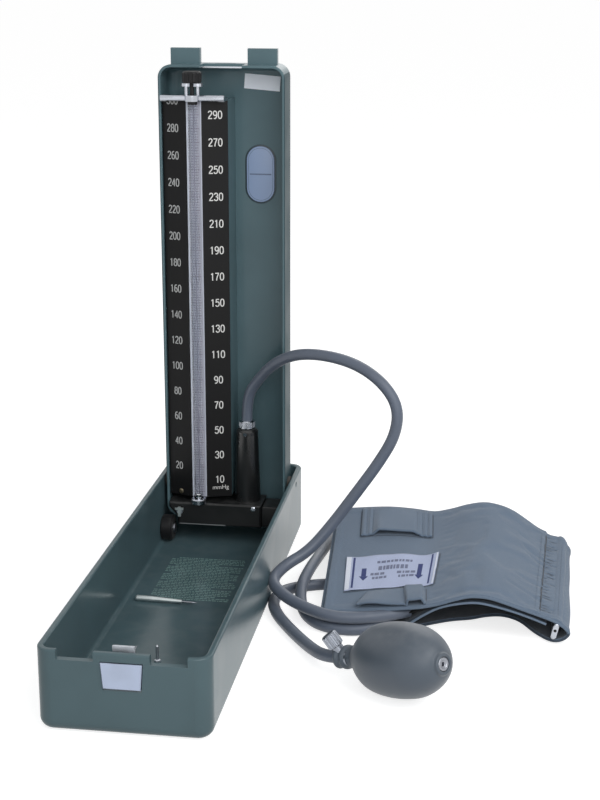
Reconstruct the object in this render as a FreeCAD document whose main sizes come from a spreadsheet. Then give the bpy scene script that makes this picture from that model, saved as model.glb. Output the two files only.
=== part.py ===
"""Mercury sphygmomanometer: a tray with a nested lid that stands open, the manometer in the lid,
and the cuff, bulb and hoses that lie beside the tray.

Frame: millimetres, +X right, +Y back (depth), +Z up, origin at the centre of the tray's bottom face.
The model stands open. The lid hinge lies along X, and the lid closes by +90 degrees about +X.
"""
import FreeCAD
import Part
import Sketcher
import math
import os
import re
from FreeCAD import Placement, Rotation, Vector

doc = FreeCAD.newDocument("Sphygmomanometer")
sheet = doc.addObject("Spreadsheet::Sheet", "Sizes")

# Driving sizes in millimetres. Everything else follows from them.
SIZES = {
    # tray
    "base_width": 103.6,
    "base_length": 356.6,
    "base_height": 51.6,
    "base_wall": 4.0,
    "base_floor": 3.0,
    "base_corner": 9.5,
    "base_edge": 6.5,
    "base_inner_edge": 3.0,
    "rim_round": 1.2,
    "notch_depth": 5.6,
    "notch_outer": 38.7,
    "notch_inner": 16.6,
    # lid and hinge
    "hinge_inset": 34.7,
    "hinge_drop": 5.1,
    "lid_gap": 2.45,
    "lid_end_gap": 5.2,
    "latch_room": 7.4,
    "lid_depth": 32.2,
    "lid_ahead": 11.4,
    "lid_wall": 2.0,
    "lid_corner": 9.2,
    "lid_back_round": 7.5,
    "lip_gap": 0.5,
    "pin_radius": 2.2,
    "pin_clearance": 0.05,
    "pin_head_radius": 3.2,
    "pin_head_height": 1.4,
    "pin_recess": 1.0,
    "washer_radius": 5.75,
    "seat_gap": 0.15,
    # open stop
    "buffer_radius": 9.5,
    "buffer_width": 8.8,
    "buffer_height": 13.7,
    "stud_radius": 2.2,
    "stud_head_radius": 4.0,
    "stud_head_height": 1.2,
    "stop_gap": 0.3,
    # latch
    "button_top_width": 24.7,
    "button_bottom_width": 22.2,
    "button_height": 16.0,
    "button_thickness": 3.5,
    "button_proud": 1.2,
    "button_drop": 5.6,
    "button_gap": 0.4,
    "pivot_radius": 1.0,
    "button_swing_gap": 1.2,
    "pivot_drop": 7.6,
    "pivot_inset": 3.2,
    "barrel_radius": 2.0,
    "hook_width": 13.0,
    "hook_plate": 1.5,
    "hook_nose": 2.0,
    "hook_bite": 0.7,
    "hook_gap": 0.2,
    "strike_bridge": 1.4,
    "strike_plate": 1.1,
    "ear_plate": 1.4,
    "ear_depth": 5.2,
    "spring_wire": 0.25,
    "spring_radius": 1.6,
    # manometer
    "scale_side_gap": 0.75,
    "scale_width": 46.8,
    "scale_foot": 17.4,
    "scale_head": 24.6,
    "scale_back_set": 1.8,
    "scale_ridge": 5.5,
    "scale_plate": 1.2,
    "channel_wall": 1.2,
    "strip_width": 11.0,
    "strip_thickness": 0.4,
    "tube_radius": 3.3,
    "tube_bore": 2.1,
    "tube_gap": 0.3,
    "zero_height": 21.3,
    "seal_height": 2.2,
    "bar_radius": 2.1,
    "bar_set_in": 0.6,
    "post_offset": 4.1,
    "post_radius": 1.3,
    "post_height": 5.6,
    "flange_radius": 3.4,
    "flange_height": 2.6,
    "cap_radius": 6.8,
    "cap_height": 8.0,
    "cap_stem_radius": 1.5,
    # manifold, cock and reservoir
    "block_length": 70.0,
    "block_height": 17.5,
    "block_depth": 26.3,
    "block_ahead": 8.0,
    "block_drop": 4.0,
    "block_toe": 6.5,
    "cock_inset": 8.4,
    "cock_radius": 2.4,
    "cock_length": 14.0,
    "lever_height": 7.6,
    "lever_width": 2.2,
    "lever_thickness": 1.6,
    "prong_span": 6.4,
    "reservoir_inset": 12.7,
    "reservoir_back": 22.4,
    "reservoir_top_radius": 8.3,
    "reservoir_foot_radius": 9.9,
    "reservoir_height": 51.7,
    "reservoir_wall": 1.6,
    "shoulder_height": 3.0,
    "shoulder_radius": 5.6,
    "collar_radius": 5.9,
    "collar_height": 6.0,
    "mercury_depth": 17.0,
    "filter_height": 1.6,
    "screw_radius": 1.9,
    "screw_head_height": 1.0,
    # plates on the lid
    "badge_width": 20.3,
    "badge_height": 40.6,
    "badge_thickness": 1.0,
    "badge_inset": 22.55,
    "badge_drop": 79.8,
    "sticker_width": 26.0,
    "sticker_height": 10.6,
    "sticker_thickness": 0.3,
    "sticker_inset": 20.95,
    "sticker_drop": 14.0,
    # loose pieces in the tray
    "peg_radius": 1.0,
    "peg_height": 11.0,
    "peg_side": 2.4,
    "peg_along": 83.2,
    "tool_length": 33.0,
    "tool_radius": 2.0,
    "tool_tip_length": 11.0,
    "tool_tip_radius": 0.6,
    "tool_side": 39.6,
    "tool_along": 9.5,
    # bulb and valves
    "bulb_side": 154.0,
    "bulb_along": 103.0,
    "bulb_rise": 24.1,
    "bulb_radius": 23.3,
    "bulb_half_length": 33.0,
    "bulb_wall": 3.0,
    "bulb_neck_radius": 8.0,
    "bulb_neck_length": 7.0,
    "valve_radius": 4.6,
    "valve_flange": 7.2,
    "valve_length": 8.0,
    "valve_bore": 1.6,
    "ball_radius": 2.0,
    "body_radius": 4.4,
    "body_length": 10.0,
    "body_flange_radius": 5.6,
    "boss_radius": 3.4,
    "boss_length": 8.6,
    "knob_radius": 5.2,
    "knob_length": 9.0,
    "needle_radius": 1.9,
    # hoses and cuff
    "hose_radius": 4.0,
    "stub_length": 14.0,
    "cuff_front": 12.0,
    "cuff_width": 150.0,
    "fabric": 1.8,
    "cuff_gap": 0.3,
    "bladder_thickness": 3.0,
    "tail_side": 95.0,
    "tail_width": 62.0,
    "tail_depth": 41.0,
    "tail_inset": 2.0,
    "tail_height": 14.0,
    "ring_wire": 1.5,
    "ring_bend": 3.0,
    "ring_side": 246.0,
    "ring_rise": 8.2,
    "ring_proud": 2.0,
    "label_thickness": 0.4,
    "label_setback": 26.0,
    "label_depth": 52.0,
    "strap_inset": 3.0,
    "strap_depth": 43.0,
    "flap_setback": 6.0,
    "flap_depth": 17.0,
}
for row, (alias, value) in enumerate(SIZES.items(), start=1):
    sheet.set(f"A{row}", alias)
    sheet.set(f"B{row}", str(value))
    sheet.setAlias(f"B{row}", alias)
doc.recompute()

ALIAS = re.compile(r"\b(" + "|".join(sorted(SIZES, key=len, reverse=True)) + r")\b")
PARTS = {}

# Places that more than one piece uses, as expressions of the sizes
HINGE_Y = "(base_length / 2 - hinge_inset)"
HINGE_Z = "(base_height - hinge_drop)"
INNER_X = "(base_width / 2 - base_wall)"
INNER_Y = "(base_length / 2 - base_wall)"
LID_X = f"({INNER_X} - lid_gap)"
LID_FRONT = f"({HINGE_Y} - lid_ahead)"
LID_BACK = f"({LID_FRONT} + lid_depth)"
LID_PANEL = f"({LID_BACK} - lid_wall)"
LID_FOOT = f"({HINGE_Z} - hinge_inset + base_wall + lid_end_gap)"
LID_TOP = f"({HINGE_Z} + {HINGE_Y} + {INNER_Y} - latch_room)"
SHUT_RIM = f"(base_height + {HINGE_Y} - {HINGE_Z})"


def cells(text):
    """An expression in which each size's name reads its cell."""
    return ALIAS.sub(r"Sizes.\1", text)


def number(text):
    """The length that an expression of the sizes comes to."""
    return float(sheet.evalExpression(cells(text)))


def keep(node, obj):
    """Names a finished sub-part after its node."""
    obj.Label = node
    PARTS[node] = obj
    return obj


def place(obj, at, turn=None):
    """Puts an object at a point given by three expressions, turned about an axis."""
    if turn:
        obj.Placement = Placement(Vector(), Rotation(Vector(*turn[0]), turn[1]))
    for axis, text in zip("xyz", at):
        obj.setExpression(f"Placement.Base.{axis}", cells(text))
    return obj


ALONG_X = ((0, 1, 0), 90)
ALONG_Y = ((1, 0, 0), -90)


def solid(kind, at, turn=None, **sizes):
    """A Part primitive whose sizes and place are expressions."""
    obj = doc.addObject(f"Part::{kind}", kind)
    for name, text in sizes.items():
        obj.setExpression(name, cells(text))
    return place(obj, at, turn)


def box(at, length, width, height):
    return solid("Box", at, Length=length, Width=width, Height=height)


def rod(at, radius, height, turn=None):
    return solid("Cylinder", at, turn, Radius=radius, Height=height)


def cut(base, *tools):
    """The base with the tools taken out of it."""
    obj = doc.addObject("Part::Cut", "Cut")
    obj.Base = base
    obj.Tool = tools[0] if len(tools) == 1 else fuse(*tools)
    return obj


def fuse(*pieces):
    obj = doc.addObject("Part::MultiFuse", "Fuse")
    obj.Shapes = list(pieces)
    return obj


def mirrored(source):
    """The same piece on the other side of the plane X = 0."""
    obj = doc.addObject("Part::Mirroring", "Mirror")
    obj.Source = source
    obj.Normal = Vector(1, 0, 0)
    return obj


def group(*pieces):
    """Separate solids that share a node."""
    obj = doc.addObject("Part::Compound", "Group")
    obj.Links = list(pieces)
    return obj


def new_body(name, at=("0", "0", "0"), turn=None):
    return place(doc.addObject("PartDesign::Body", name), at, turn)


def sketch(body, plane, lift="0"):
    """An empty sketch on one of the body's own origin planes, lifted along its normal."""
    obj = body.newObject("Sketcher::SketchObject", "Sketch")
    origin = next(f for f in body.Origin.OriginFeatures if f.Role == plane)
    obj.AttachmentSupport = [(origin, "")]
    obj.MapMode = "FlatFace"
    obj.setExpression("AttachmentOffset.Base.z", cells(lift))
    return obj


def pin_down(obj, line, corner):
    """Ties the start of a sketch line to two expressions."""
    for kind, axis, text in (("DistanceX", -2, corner[0]), ("DistanceY", -1, corner[1])):
        if text == "0":
            obj.addConstraint(Sketcher.Constraint("PointOnObject", line, 1, axis))
            continue
        index = obj.addConstraint(Sketcher.Constraint(kind, -1, 1, line, 1, number(text)))
        obj.setExpression(f"Constraints[{index}]", cells(text))


def outline(body, plane, corners, lift="0"):
    """A closed sketch of straight lines through corners given by expressions."""
    obj = sketch(body, plane, lift)
    points = [Vector(number(a), number(b), 0) for a, b in corners]
    for start, end in zip(points, points[1:] + points[:1]):
        obj.addGeometry(Part.LineSegment(start, end), False)
    count = len(points)
    for line in range(count):
        obj.addConstraint(Sketcher.Constraint("Coincident", line, 2, (line + 1) % count, 1))
    for line, corner in enumerate(corners):
        pin_down(obj, line, corner)
    return obj


def rectangle(body, plane, low, high, lift="0"):
    """A closed sketch of a rectangle between two opposite corners."""
    return outline(body, plane, [low, (high[0], low[1]), high, (low[0], high[1])], lift)


def feature(body, kind, profile, **sizes):
    """A Pad or Pocket of a sketch, with its sizes bound."""
    obj = body.newObject(f"PartDesign::{kind}", kind)
    obj.Profile = profile
    for name, text in sizes.items():
        if isinstance(text, bool):
            setattr(obj, name, text)
        else:
            obj.setExpression(name, cells(text))
    profile.Visibility = False
    doc.recompute()
    return obj


def rounded(body, radius, test):
    """Fillets the edges of the body's tip that pass a test."""
    base = body.Tip
    names = [f"Edge{i}" for i, edge in enumerate(base.Shape.Edges, start=1) if test(edge)]
    if not names:
        raise ValueError(f"no edge to round on {body.Label}")
    obj = body.newObject("PartDesign::Fillet", "Fillet")
    obj.Base = (base, names)
    obj.setExpression("Radius", cells(radius))
    doc.recompute()
    return obj


def bevelled(body, length, test):
    """Chamfers the edges of the body's tip that pass a test."""
    base = body.Tip
    names = [f"Edge{i}" for i, edge in enumerate(base.Shape.Edges, start=1) if test(edge)]
    if not names:
        raise ValueError(f"no edge to bevel on {body.Label}")
    obj = body.newObject("PartDesign::Chamfer", "Chamfer")
    obj.Base = (base, names)
    obj.setExpression("Size", cells(length))
    doc.recompute()
    return obj


def turned(name, corners, at=("0", "0", "0"), turn=None):
    """A body turned about its own Z axis from a profile of (radius, height) corners."""
    body = new_body(name, at, turn)
    profile = outline(body, "XZ_Plane", corners)
    obj = body.newObject("PartDesign::Revolution", "Revolution")
    obj.Profile = profile
    obj.ReferenceAxis = (profile, ["V_Axis"])
    obj.Angle = 360
    doc.recompute()
    return body


def runs_along(axis, length=None):
    """A test for straight edges along one axis, of one length where it is given."""
    def test(edge):
        box_ = edge.BoundBox
        spans = {"x": box_.XLength, "y": box_.YLength, "z": box_.ZLength}
        along = spans.pop(axis)
        straight = max(spans.values()) < 0.01 and along > 0.5
        return straight and (length is None or abs(along - number(length)) < 0.05)
    return test


def lies_at(axis, place_, inside_x=None):
    """A test for edges that lie in one plane across an axis."""
    def test(edge):
        box_ = edge.BoundBox
        low = {"x": box_.XMin, "y": box_.YMin, "z": box_.ZMin}[axis]
        high = {"x": box_.XMax, "y": box_.YMax, "z": box_.ZMax}[axis]
        level = number(place_)
        if abs(low - level) > 0.01 or abs(high - level) > 0.01:
            return False
        return inside_x is None or max(abs(box_.XMin), abs(box_.XMax)) < number(inside_x) + 0.01
    return test


def at_corner(half_x, half_y=None):
    """A test for upright edges at the corners of a rectangle."""
    def test(edge):
        if not runs_along("z")(edge):
            return False
        middle = edge.BoundBox.Center
        near = abs(abs(middle.x) - number(half_x)) < 0.05
        return near and (half_y is None or abs(abs(middle.y) - number(half_y)) < 0.05)
    return test


# ---- Tray ----
def make_tray():
    """The tray: one deep drawn shell with a thick rim, two notches for the lid's lips, the
    button's window and the hinge holes."""
    body = new_body("base_tray")
    half_x = "base_width / 2"
    half_y = "base_length / 2"
    plan = rectangle(body, "XY_Plane", (f"-{half_x}", f"-{half_y}"), (half_x, half_y))
    feature(body, "Pad", plan, Length="base_height")
    rounded(body, "base_corner", at_corner(half_x, half_y))
    rounded(body, "base_edge", lies_at("z", "0"))
    hollow = rectangle(
        body, "XY_Plane", (f"-{INNER_X}", f"-{INNER_Y}"), (INNER_X, INNER_Y), lift="base_height"
    )
    feature(body, "Pocket", hollow, Length="base_height - base_floor")
    rounded(body, "base_corner - base_wall", at_corner(INNER_X, INNER_Y))
    rounded(body, "base_inner_edge", lies_at("z", "base_floor"))
    rounded(body, "rim_round", lies_at("z", "base_height"))
    for low, high in (("-notch_outer", "-notch_inner"), ("notch_inner", "notch_outer")):
        notch = rectangle(
            body, "XZ_Plane",
            (low, "base_height - notch_depth"), (high, "base_height + base_wall"),
            lift=f"{half_y} + base_wall",
        )
        feature(body, "Pocket", notch, Length="base_wall * 2.5")
    window = outline(body, "XZ_Plane", button_outline("button_gap"), lift=f"{half_y} + base_wall")
    feature(body, "Pocket", window, Length="base_wall * 2.5")
    bore = sketch(body, "YZ_Plane", lift=half_x)
    round_hole(bore, HINGE_Y, HINGE_Z, "pin_radius")
    hinge_hole = feature(body, "Pocket", bore, Length="base_width")
    hinge_hole.Reversed = False
    doc.recompute()
    keep("base_tray", body)


def round_hole(obj, across, up, radius):
    """A circle in a sketch, its centre and radius tied to expressions."""
    centre = Vector(number(across), number(up), 0)
    obj.addGeometry(Part.Circle(centre, Vector(0, 0, 1), number(radius)), False)
    for kind, text in (("DistanceX", across), ("DistanceY", up)):
        if text == "0":
            continue
        index = obj.addConstraint(Sketcher.Constraint(kind, -1, 1, 0, 3, number(text)))
        obj.setExpression(f"Constraints[{index}]", cells(text))
    index = obj.addConstraint(Sketcher.Constraint("Radius", 0, number(radius)))
    obj.setExpression(f"Constraints[{index}]", cells(radius))
    return obj


def button_outline(gap):
    """The tapered face of the latch button, or of its window with a gap round it."""
    top = "(base_height - button_drop)"
    foot = f"({top} - button_height)"
    swing = "0" if gap == "0" else "button_swing_gap"
    return [
        (f"-button_bottom_width / 2 - {gap}", f"{foot} - {swing}"),
        (f"button_bottom_width / 2 + {gap}", f"{foot} - {swing}"),
        (f"button_top_width / 2 + {gap}", f"{top} + {gap}"),
        (f"-button_top_width / 2 - {gap}", f"{top} + {gap}"),
    ]


def hollowed(body, wall, test):
    """Shells the body's tip inwards, open at the face whose edges pass a test."""
    base = body.Tip
    names = [
        f"Face{i}" for i, face in enumerate(base.Shape.Faces, start=1)
        if all(test(edge) for edge in face.Edges)
    ]
    obj = body.newObject("PartDesign::Thickness", "Thickness")
    obj.Base = (base, names)
    obj.Reversed = True
    obj.setExpression("Value", cells(wall))
    doc.recompute()
    return obj


# ---- Lid ----
def make_lid():
    """The lid: a deep pan that stands on its end, with two lips and a catch slot at the top."""
    body = new_body("lid_shell")
    face = rectangle(
        body, "XZ_Plane", (f"-{LID_X}", LID_FOOT), (LID_X, LID_TOP), lift=f"-{LID_BACK}"
    )
    feature(body, "Pad", face, Length="lid_depth")
    rounded(body, "lid_corner", runs_along("y", "lid_depth"))
    rounded(body, "lid_back_round", lies_at("y", LID_BACK))
    hollowed(body, "lid_wall", lies_at("y", LID_FRONT))
    rounded(body, "lid_wall / 4", lies_at("y", LID_FRONT))
    # the lips fill the tray's notches when the lid is shut
    lip_low = f"({HINGE_Y} + base_height - notch_depth + lip_gap - {HINGE_Z})"
    lip_top = f"({HINGE_Z} + {HINGE_Y} + base_length / 2 - lip_gap)"
    for side in ("-", ""):
        low = f"{side}(notch_inner + lip_gap)"
        high = f"{side}(notch_outer - lip_gap)"
        lip = rectangle(
            body, "XZ_Plane", (low, f"{LID_TOP} - lid_wall"), (high, lip_top),
            lift=f"-{SHUT_RIM}",
        )
        feature(body, "Pad", lip, Length=f"{SHUT_RIM} - {lip_low}")
    # the end wall is open in the middle up to a bridge, which the latch hook catches
    bridge_top = SHUT_RIM
    bridge_low = f"({bridge_top} - strike_bridge)"
    recess = rectangle(
        body, "XY_Plane",
        ("-(notch_inner - button_gap * 4)", f"{LID_FRONT} - lid_wall"),
        ("(notch_inner - button_gap * 4)", bridge_low),
        lift=f"{LID_TOP} + lid_wall",
    )
    feature(body, "Pocket", recess, Length="lid_wall * 2.5")
    slot = rectangle(
        body, "XY_Plane",
        ("-(hook_width / 2 + 1)", bridge_top),
        ("(hook_width / 2 + 1)", f"{bridge_top} + hook_nose + 4 * hook_gap"),
        lift=f"{LID_TOP} + lid_wall",
    )
    feature(body, "Pocket", slot, Length="lid_wall * 2.5")
    bore = sketch(body, "YZ_Plane", lift="base_width / 2")
    round_hole(bore, HINGE_Y, HINGE_Z, "pin_radius + pin_clearance")
    feature(body, "Pocket", bore, Length="base_width")
    keep("lid_shell", body)


def make_strike():
    """A steel plate behind the catch slot, which takes the hook's wear."""
    width = "(hook_width + 20)"
    low = f"({SHUT_RIM} - strike_bridge)"
    blank = box(
        (f"-{width} / 2", low, f"{LID_TOP} - lid_wall - strike_plate"),
        width, "strike_bridge + hook_nose + 5", "strike_plate",
    )
    slot = box(
        ("-(hook_width / 2 + 1)", SHUT_RIM, f"{LID_TOP} - lid_wall - strike_plate * 2"),
        "hook_width + 2", "hook_nose + 4 * hook_gap", "strike_plate * 3",
    )
    keep("strike_plate", cut(blank, slot))


# ---- Hinge and open stop ----
def make_hinge():
    """Two headed pins and the washers between tray and lid."""
    shank_start = f"({LID_X} - lid_wall - seat_gap)"
    shank = rod(
        (shank_start, HINGE_Y, HINGE_Z), "pin_radius",
        f"base_width / 2 - pin_recess - {shank_start}", ALONG_X,
    )
    head = turned(
        "pin_head",
        [("0", "0"), ("pin_head_radius", "0"), ("pin_head_radius", "pin_head_height / 2"),
         ("pin_head_radius * 0.6", "pin_head_height"), ("0", "pin_head_height")],
        (shank_start, HINGE_Y, HINGE_Z), ((0, 1, 0), -90),
    )
    pin = fuse(shank, head)
    keep("hinge_pins", group(pin, mirrored(pin)))
    ring = rod(
        (f"{LID_X} + seat_gap", HINGE_Y, HINGE_Z), "washer_radius", "lid_gap - 2 * seat_gap", ALONG_X
    )
    hole = rod(
        (LID_X, HINGE_Y, HINGE_Z), "pin_radius + pin_clearance", "lid_gap", ALONG_X
    )
    washer = cut(ring, hole)
    keep("hinge_washers", group(washer, mirrored(washer)))


# the open lid's lower front edge leans on the two buffers
BUFFER_Y = (
    f"({LID_FRONT} - sqrt((buffer_radius + stop_gap) ^ 2 - ({LID_FOOT} - buffer_height) ^ 2))"
)


def make_stop():
    """A rubber buffer on a headed stud at each side, which the open lid leans on."""
    outer = f"({INNER_X} - seat_gap)"
    stud = rod(
        (f"{outer} - buffer_width - stud_head_height - seat_gap", BUFFER_Y, "buffer_height"),
        "stud_radius", "buffer_width + stud_head_height + 2 * seat_gap", ALONG_X,
    )
    head = rod(
        (f"{outer} - buffer_width - stud_head_height - seat_gap", BUFFER_Y, "buffer_height"),
        "stud_head_radius", "stud_head_height", ALONG_X,
    )
    stud_piece = fuse(stud, head)
    keep("stop_studs", group(stud_piece, mirrored(stud_piece)))
    wheel = turned(
        "buffer",
        [("stud_radius + pin_clearance", "0"), ("buffer_radius - 1", "0"),
         ("buffer_radius", "1"), ("buffer_radius", "buffer_width - 1"),
         ("buffer_radius - 1", "buffer_width"), ("stud_radius + pin_clearance", "buffer_width")],
        (f"{outer} - buffer_width", BUFFER_Y, "buffer_height"), ALONG_X,
    )
    keep("stop_buffers", group(wheel, mirrored(wheel)))


# ---- Latch ----
PIVOT_Y = f"(pivot_inset - {INNER_Y})"
PIVOT_Z = "(base_height - pivot_drop)"
BUTTON_FRONT = "(base_length / 2 + button_proud)"
BUTTON_BACK = f"({BUTTON_FRONT} - button_thickness)"


def make_latch():
    """The button plate, and behind it the hook that turns with it on the pivot pin."""
    plate = new_body("latch_button")
    face = outline(plate, "XZ_Plane", button_outline("0"), lift=BUTTON_BACK)
    feature(plate, "Pad", face, Length="button_thickness")
    bevelled(plate, "0.5", lies_at("y", f"-{BUTTON_FRONT}"))
    keep("latch_button", plate)

    body = new_body("latch_hook")
    back = f"-{BUTTON_BACK}"
    stem = f"({PIVOT_Y} - hook_plate * 0.8)"
    nose_low = "(base_height + hook_gap)"
    nose_tip = f"(latch_room + hook_bite - {INNER_Y})"
    window_top = "(base_height - button_drop)"
    profile = outline(body, "YZ_Plane", [
        (back, f"{window_top} - button_height * 0.75"),
        (f"{PIVOT_Y} + hook_plate * 0.6", f"{window_top} - button_height * 0.75"),
        (f"{PIVOT_Y} + hook_plate * 0.6", nose_low),
        (nose_tip, nose_low),
        (f"{stem} + hook_plate", f"{nose_low} + hook_nose"),
        (stem, f"{nose_low} + hook_nose"),
        (stem, f"{window_top} - button_drop * 0.2"),
        (back, f"{window_top} - button_drop * 0.2"),
    ], lift="-hook_width / 2")
    feature(body, "Pad", profile, Length="hook_width")
    barrel = rod(("-hook_width / 2", PIVOT_Y, PIVOT_Z), "barrel_radius", "hook_width", ALONG_X)
    bore = rod(
        ("-hook_width", PIVOT_Y, PIVOT_Z), "pivot_radius + pin_clearance", "2 * hook_width", ALONG_X
    )
    keep("latch_hook", cut(fuse(body, barrel), bore))

    ear_inner = "(button_top_width / 2 + 2 * button_gap)"
    ear_outer = f"({ear_inner} + ear_plate)"
    low = "(base_height - button_drop - button_height - button_swing_gap - 7)"
    foot = box(
        (f"-{ear_outer}", f"-{INNER_Y}", low), f"2 * {ear_outer}", "ear_plate", "5"
    )
    ear = box(
        (ear_inner, f"-{INNER_Y}", low), "ear_plate", "ear_depth",
        f"{PIVOT_Z} + 3 - {low}",
    )
    pin_hole = rod(
        (f"-{ear_outer} - 1", PIVOT_Y, PIVOT_Z), "pivot_radius", f"2 * {ear_outer} + 2", ALONG_X
    )
    keep("latch_bracket", cut(fuse(foot, ear, mirrored(ear)), pin_hole))
    keep("latch_pin", rod(
        (f"-{ear_outer}", PIVOT_Y, PIVOT_Z), "pivot_radius", f"2 * {ear_outer}", ALONG_X
    ))
    make_latch_spring(ear_inner)


def make_latch_spring(ear_inner):
    """A small coil round the pivot pin, between the hook and the ear."""
    start = number("hook_width / 2 + hook_gap + spring_wire * 2")
    end = number(f"{ear_inner} - hook_gap - spring_wire * 2")
    radius = number("spring_radius")
    wire = number("spring_wire")
    turns = 4
    helix = Part.makeHelix((end - start) / turns, end - start, radius)
    section = Part.Wire(Part.makeCircle(wire, Vector(radius, 0, 0), Vector(0, 1, 0)))
    coil = Part.Wire(helix).makePipeShell([section], True, True)
    obj = doc.addObject("Part::Feature", "Coil")
    obj.Shape = coil
    obj.Placement = Placement(
        Vector(start, number(PIVOT_Y), number(PIVOT_Z)), Rotation(Vector(0, 1, 0), 90)
    )
    keep("latch_spring", obj)


# ---- Manometer in the lid ----
TUBE_X = f"(-({LID_X} - lid_wall - scale_side_gap - scale_width / 2))"
SCALE_LOW = f"({LID_FOOT} + scale_foot)"
SCALE_TOP = f"({LID_TOP} - scale_head)"
SCALE_LENGTH = f"({SCALE_TOP} - {SCALE_LOW})"
SCALE_EDGE = f"({LID_FRONT} + scale_back_set)"
SCALE_RIDGE = f"({SCALE_EDGE} - scale_ridge)"
STRIP_FRONT = f"({SCALE_RIDGE} + scale_plate / 2)"
TUBE_Y = f"({STRIP_FRONT} - tube_gap - tube_radius)"
TUBE_TOP = f"({SCALE_TOP} - seal_height)"
BLOCK_LOW = f"({LID_FOOT} - block_drop)"
BLOCK_TOP = f"({BLOCK_LOW} + block_height)"
BLOCK_FRONT = f"({LID_FRONT} - block_ahead)"
BLOCK_LEFT = f"({TUBE_X} - scale_width / 2 + bar_set_in)"
BLOCK_RIGHT = f"({BLOCK_LEFT} + block_length)"
TUBE_FOOT = f"({BLOCK_TOP} + seal_height)"
BAR_Z = f"({SCALE_TOP} + seat_gap + bar_radius)"
BAR_TOP = f"({BAR_Z} + bar_radius)"
FLANGE_LOW = f"({BAR_TOP} + post_height)"
CAP_LOW = f"({FLANGE_LOW} + flange_height + tube_gap)"
COCK_X = f"({BLOCK_LEFT} + cock_inset)"
COCK_Z = f"({BLOCK_TOP} - block_height * 0.37)"
RESERVOIR_X = f"({BLOCK_RIGHT} - reservoir_inset)"
RESERVOIR_Y = f"({LID_PANEL} - reservoir_back)"
RESERVOIR_TOP = f"({BLOCK_TOP} + reservoir_height)"
SHOULDER_LOW = f"({RESERVOIR_TOP} + filter_height)"
COLLAR_LOW = f"({SHOULDER_LOW} + shoulder_height)"
COLLAR_TOP = f"({COLLAR_LOW} + collar_height)"


def make_scale():
    """The channel that stands off the lid's panel, the chevron scale plate on it and the strip
    behind the tube."""
    side = "(scale_width / 2)"
    channel = new_body("scale_channel", (TUBE_X, "0", "0"))
    seat = f"({SCALE_EDGE} + scale_plate)"
    web = f"({LID_PANEL} - channel_wall)"
    # the left back edge is cut off where the lid's inside corner is round
    off = "(lid_back_round - lid_wall + tube_gap)"
    section = outline(channel, "XY_Plane", [
        (f"-{side}", seat), (f"-{side} + channel_wall", seat),
        (f"-{side} + channel_wall", f"{LID_PANEL} - {off}"), (f"-{side} + {off}", web),
        (f"{side} - channel_wall", web), (f"{side} - channel_wall", seat), (side, seat),
        (side, LID_PANEL), (f"-{side} + {off}", LID_PANEL), (f"-{side}", f"{LID_PANEL} - {off}"),
    ], lift=SCALE_LOW)
    feature(channel, "Pad", section, Length=SCALE_LENGTH)
    room = rod(
        (f"{TUBE_X} - {side} - 1", HINGE_Y, HINGE_Z), "pin_head_radius + tube_gap",
        "channel_wall + 2", ALONG_X,
    )
    keep("scale_channel", cut(channel, room))

    plate = new_body("scale_plate", (TUBE_X, "0", "0"))
    ridge = "(strip_width / 2 + tube_gap)"
    recess = f"({STRIP_FRONT} + strip_thickness)"
    profile = outline(plate, "XY_Plane", [
        (f"-{side}", SCALE_EDGE), (f"-{ridge}", SCALE_RIDGE), (f"-{ridge}", recess),
        (ridge, recess), (ridge, SCALE_RIDGE), (side, SCALE_EDGE), (side, seat),
        (f"{side} - channel_wall", seat), (ridge, f"{recess} + scale_plate"),
        (f"-{ridge}", f"{recess} + scale_plate"), (f"-{side} + channel_wall", seat),
        (f"-{side}", seat),
    ], lift=SCALE_LOW)
    feature(plate, "Pad", profile, Length=SCALE_LENGTH)
    keep("scale_plate", plate)
    keep("graduated_strip", box(
        (f"{TUBE_X} - strip_width / 2", STRIP_FRONT, SCALE_LOW), "strip_width", "strip_thickness",
        SCALE_LENGTH,
    ))


def make_tube():
    """The glass tube in its seals and seat, with the column of mercury at zero."""
    centre = (TUBE_X, TUBE_Y, "0")
    keep("glass_tube", turned("glass", [
        ("tube_bore", TUBE_FOOT), ("tube_radius", TUBE_FOOT), ("tube_radius", TUBE_TOP),
        ("tube_bore", TUBE_TOP),
    ], centre))
    level = f"({LID_FOOT} + zero_height)"
    keep("tube_mercury", turned("column", [
        ("0", TUBE_FOOT), ("tube_bore", TUBE_FOOT), ("tube_bore", f"{level} - tube_bore / 2"),
        ("tube_bore * 0.7", f"{level} - tube_bore / 6"), ("0", level),
    ], centre))
    keep("tube_lower_seal", turned("lower_seal", [
        ("0", BLOCK_TOP), ("tube_radius + 1", BLOCK_TOP), ("tube_radius + 1", TUBE_FOOT),
        ("0", TUBE_FOOT),
    ], centre))
    rim = f"({TUBE_FOOT} + seal_height * 0.7)"
    keep("tube_seat", turned("seat", [
        ("tube_radius + 1", BLOCK_TOP), ("tube_radius + 2.6", BLOCK_TOP),
        ("tube_radius + 2.6", f"{rim} - 0.6"), ("tube_radius + 2", rim),
        ("tube_radius + pin_clearance", rim), ("tube_radius + pin_clearance", TUBE_FOOT),
        ("tube_radius + 1", TUBE_FOOT),
    ], centre))
    keep("tube_upper_seal", turned("upper_seal", [
        ("0", TUBE_TOP), ("tube_radius", TUBE_TOP), ("tube_radius", SCALE_TOP), ("0", SCALE_TOP),
    ], centre))


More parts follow.
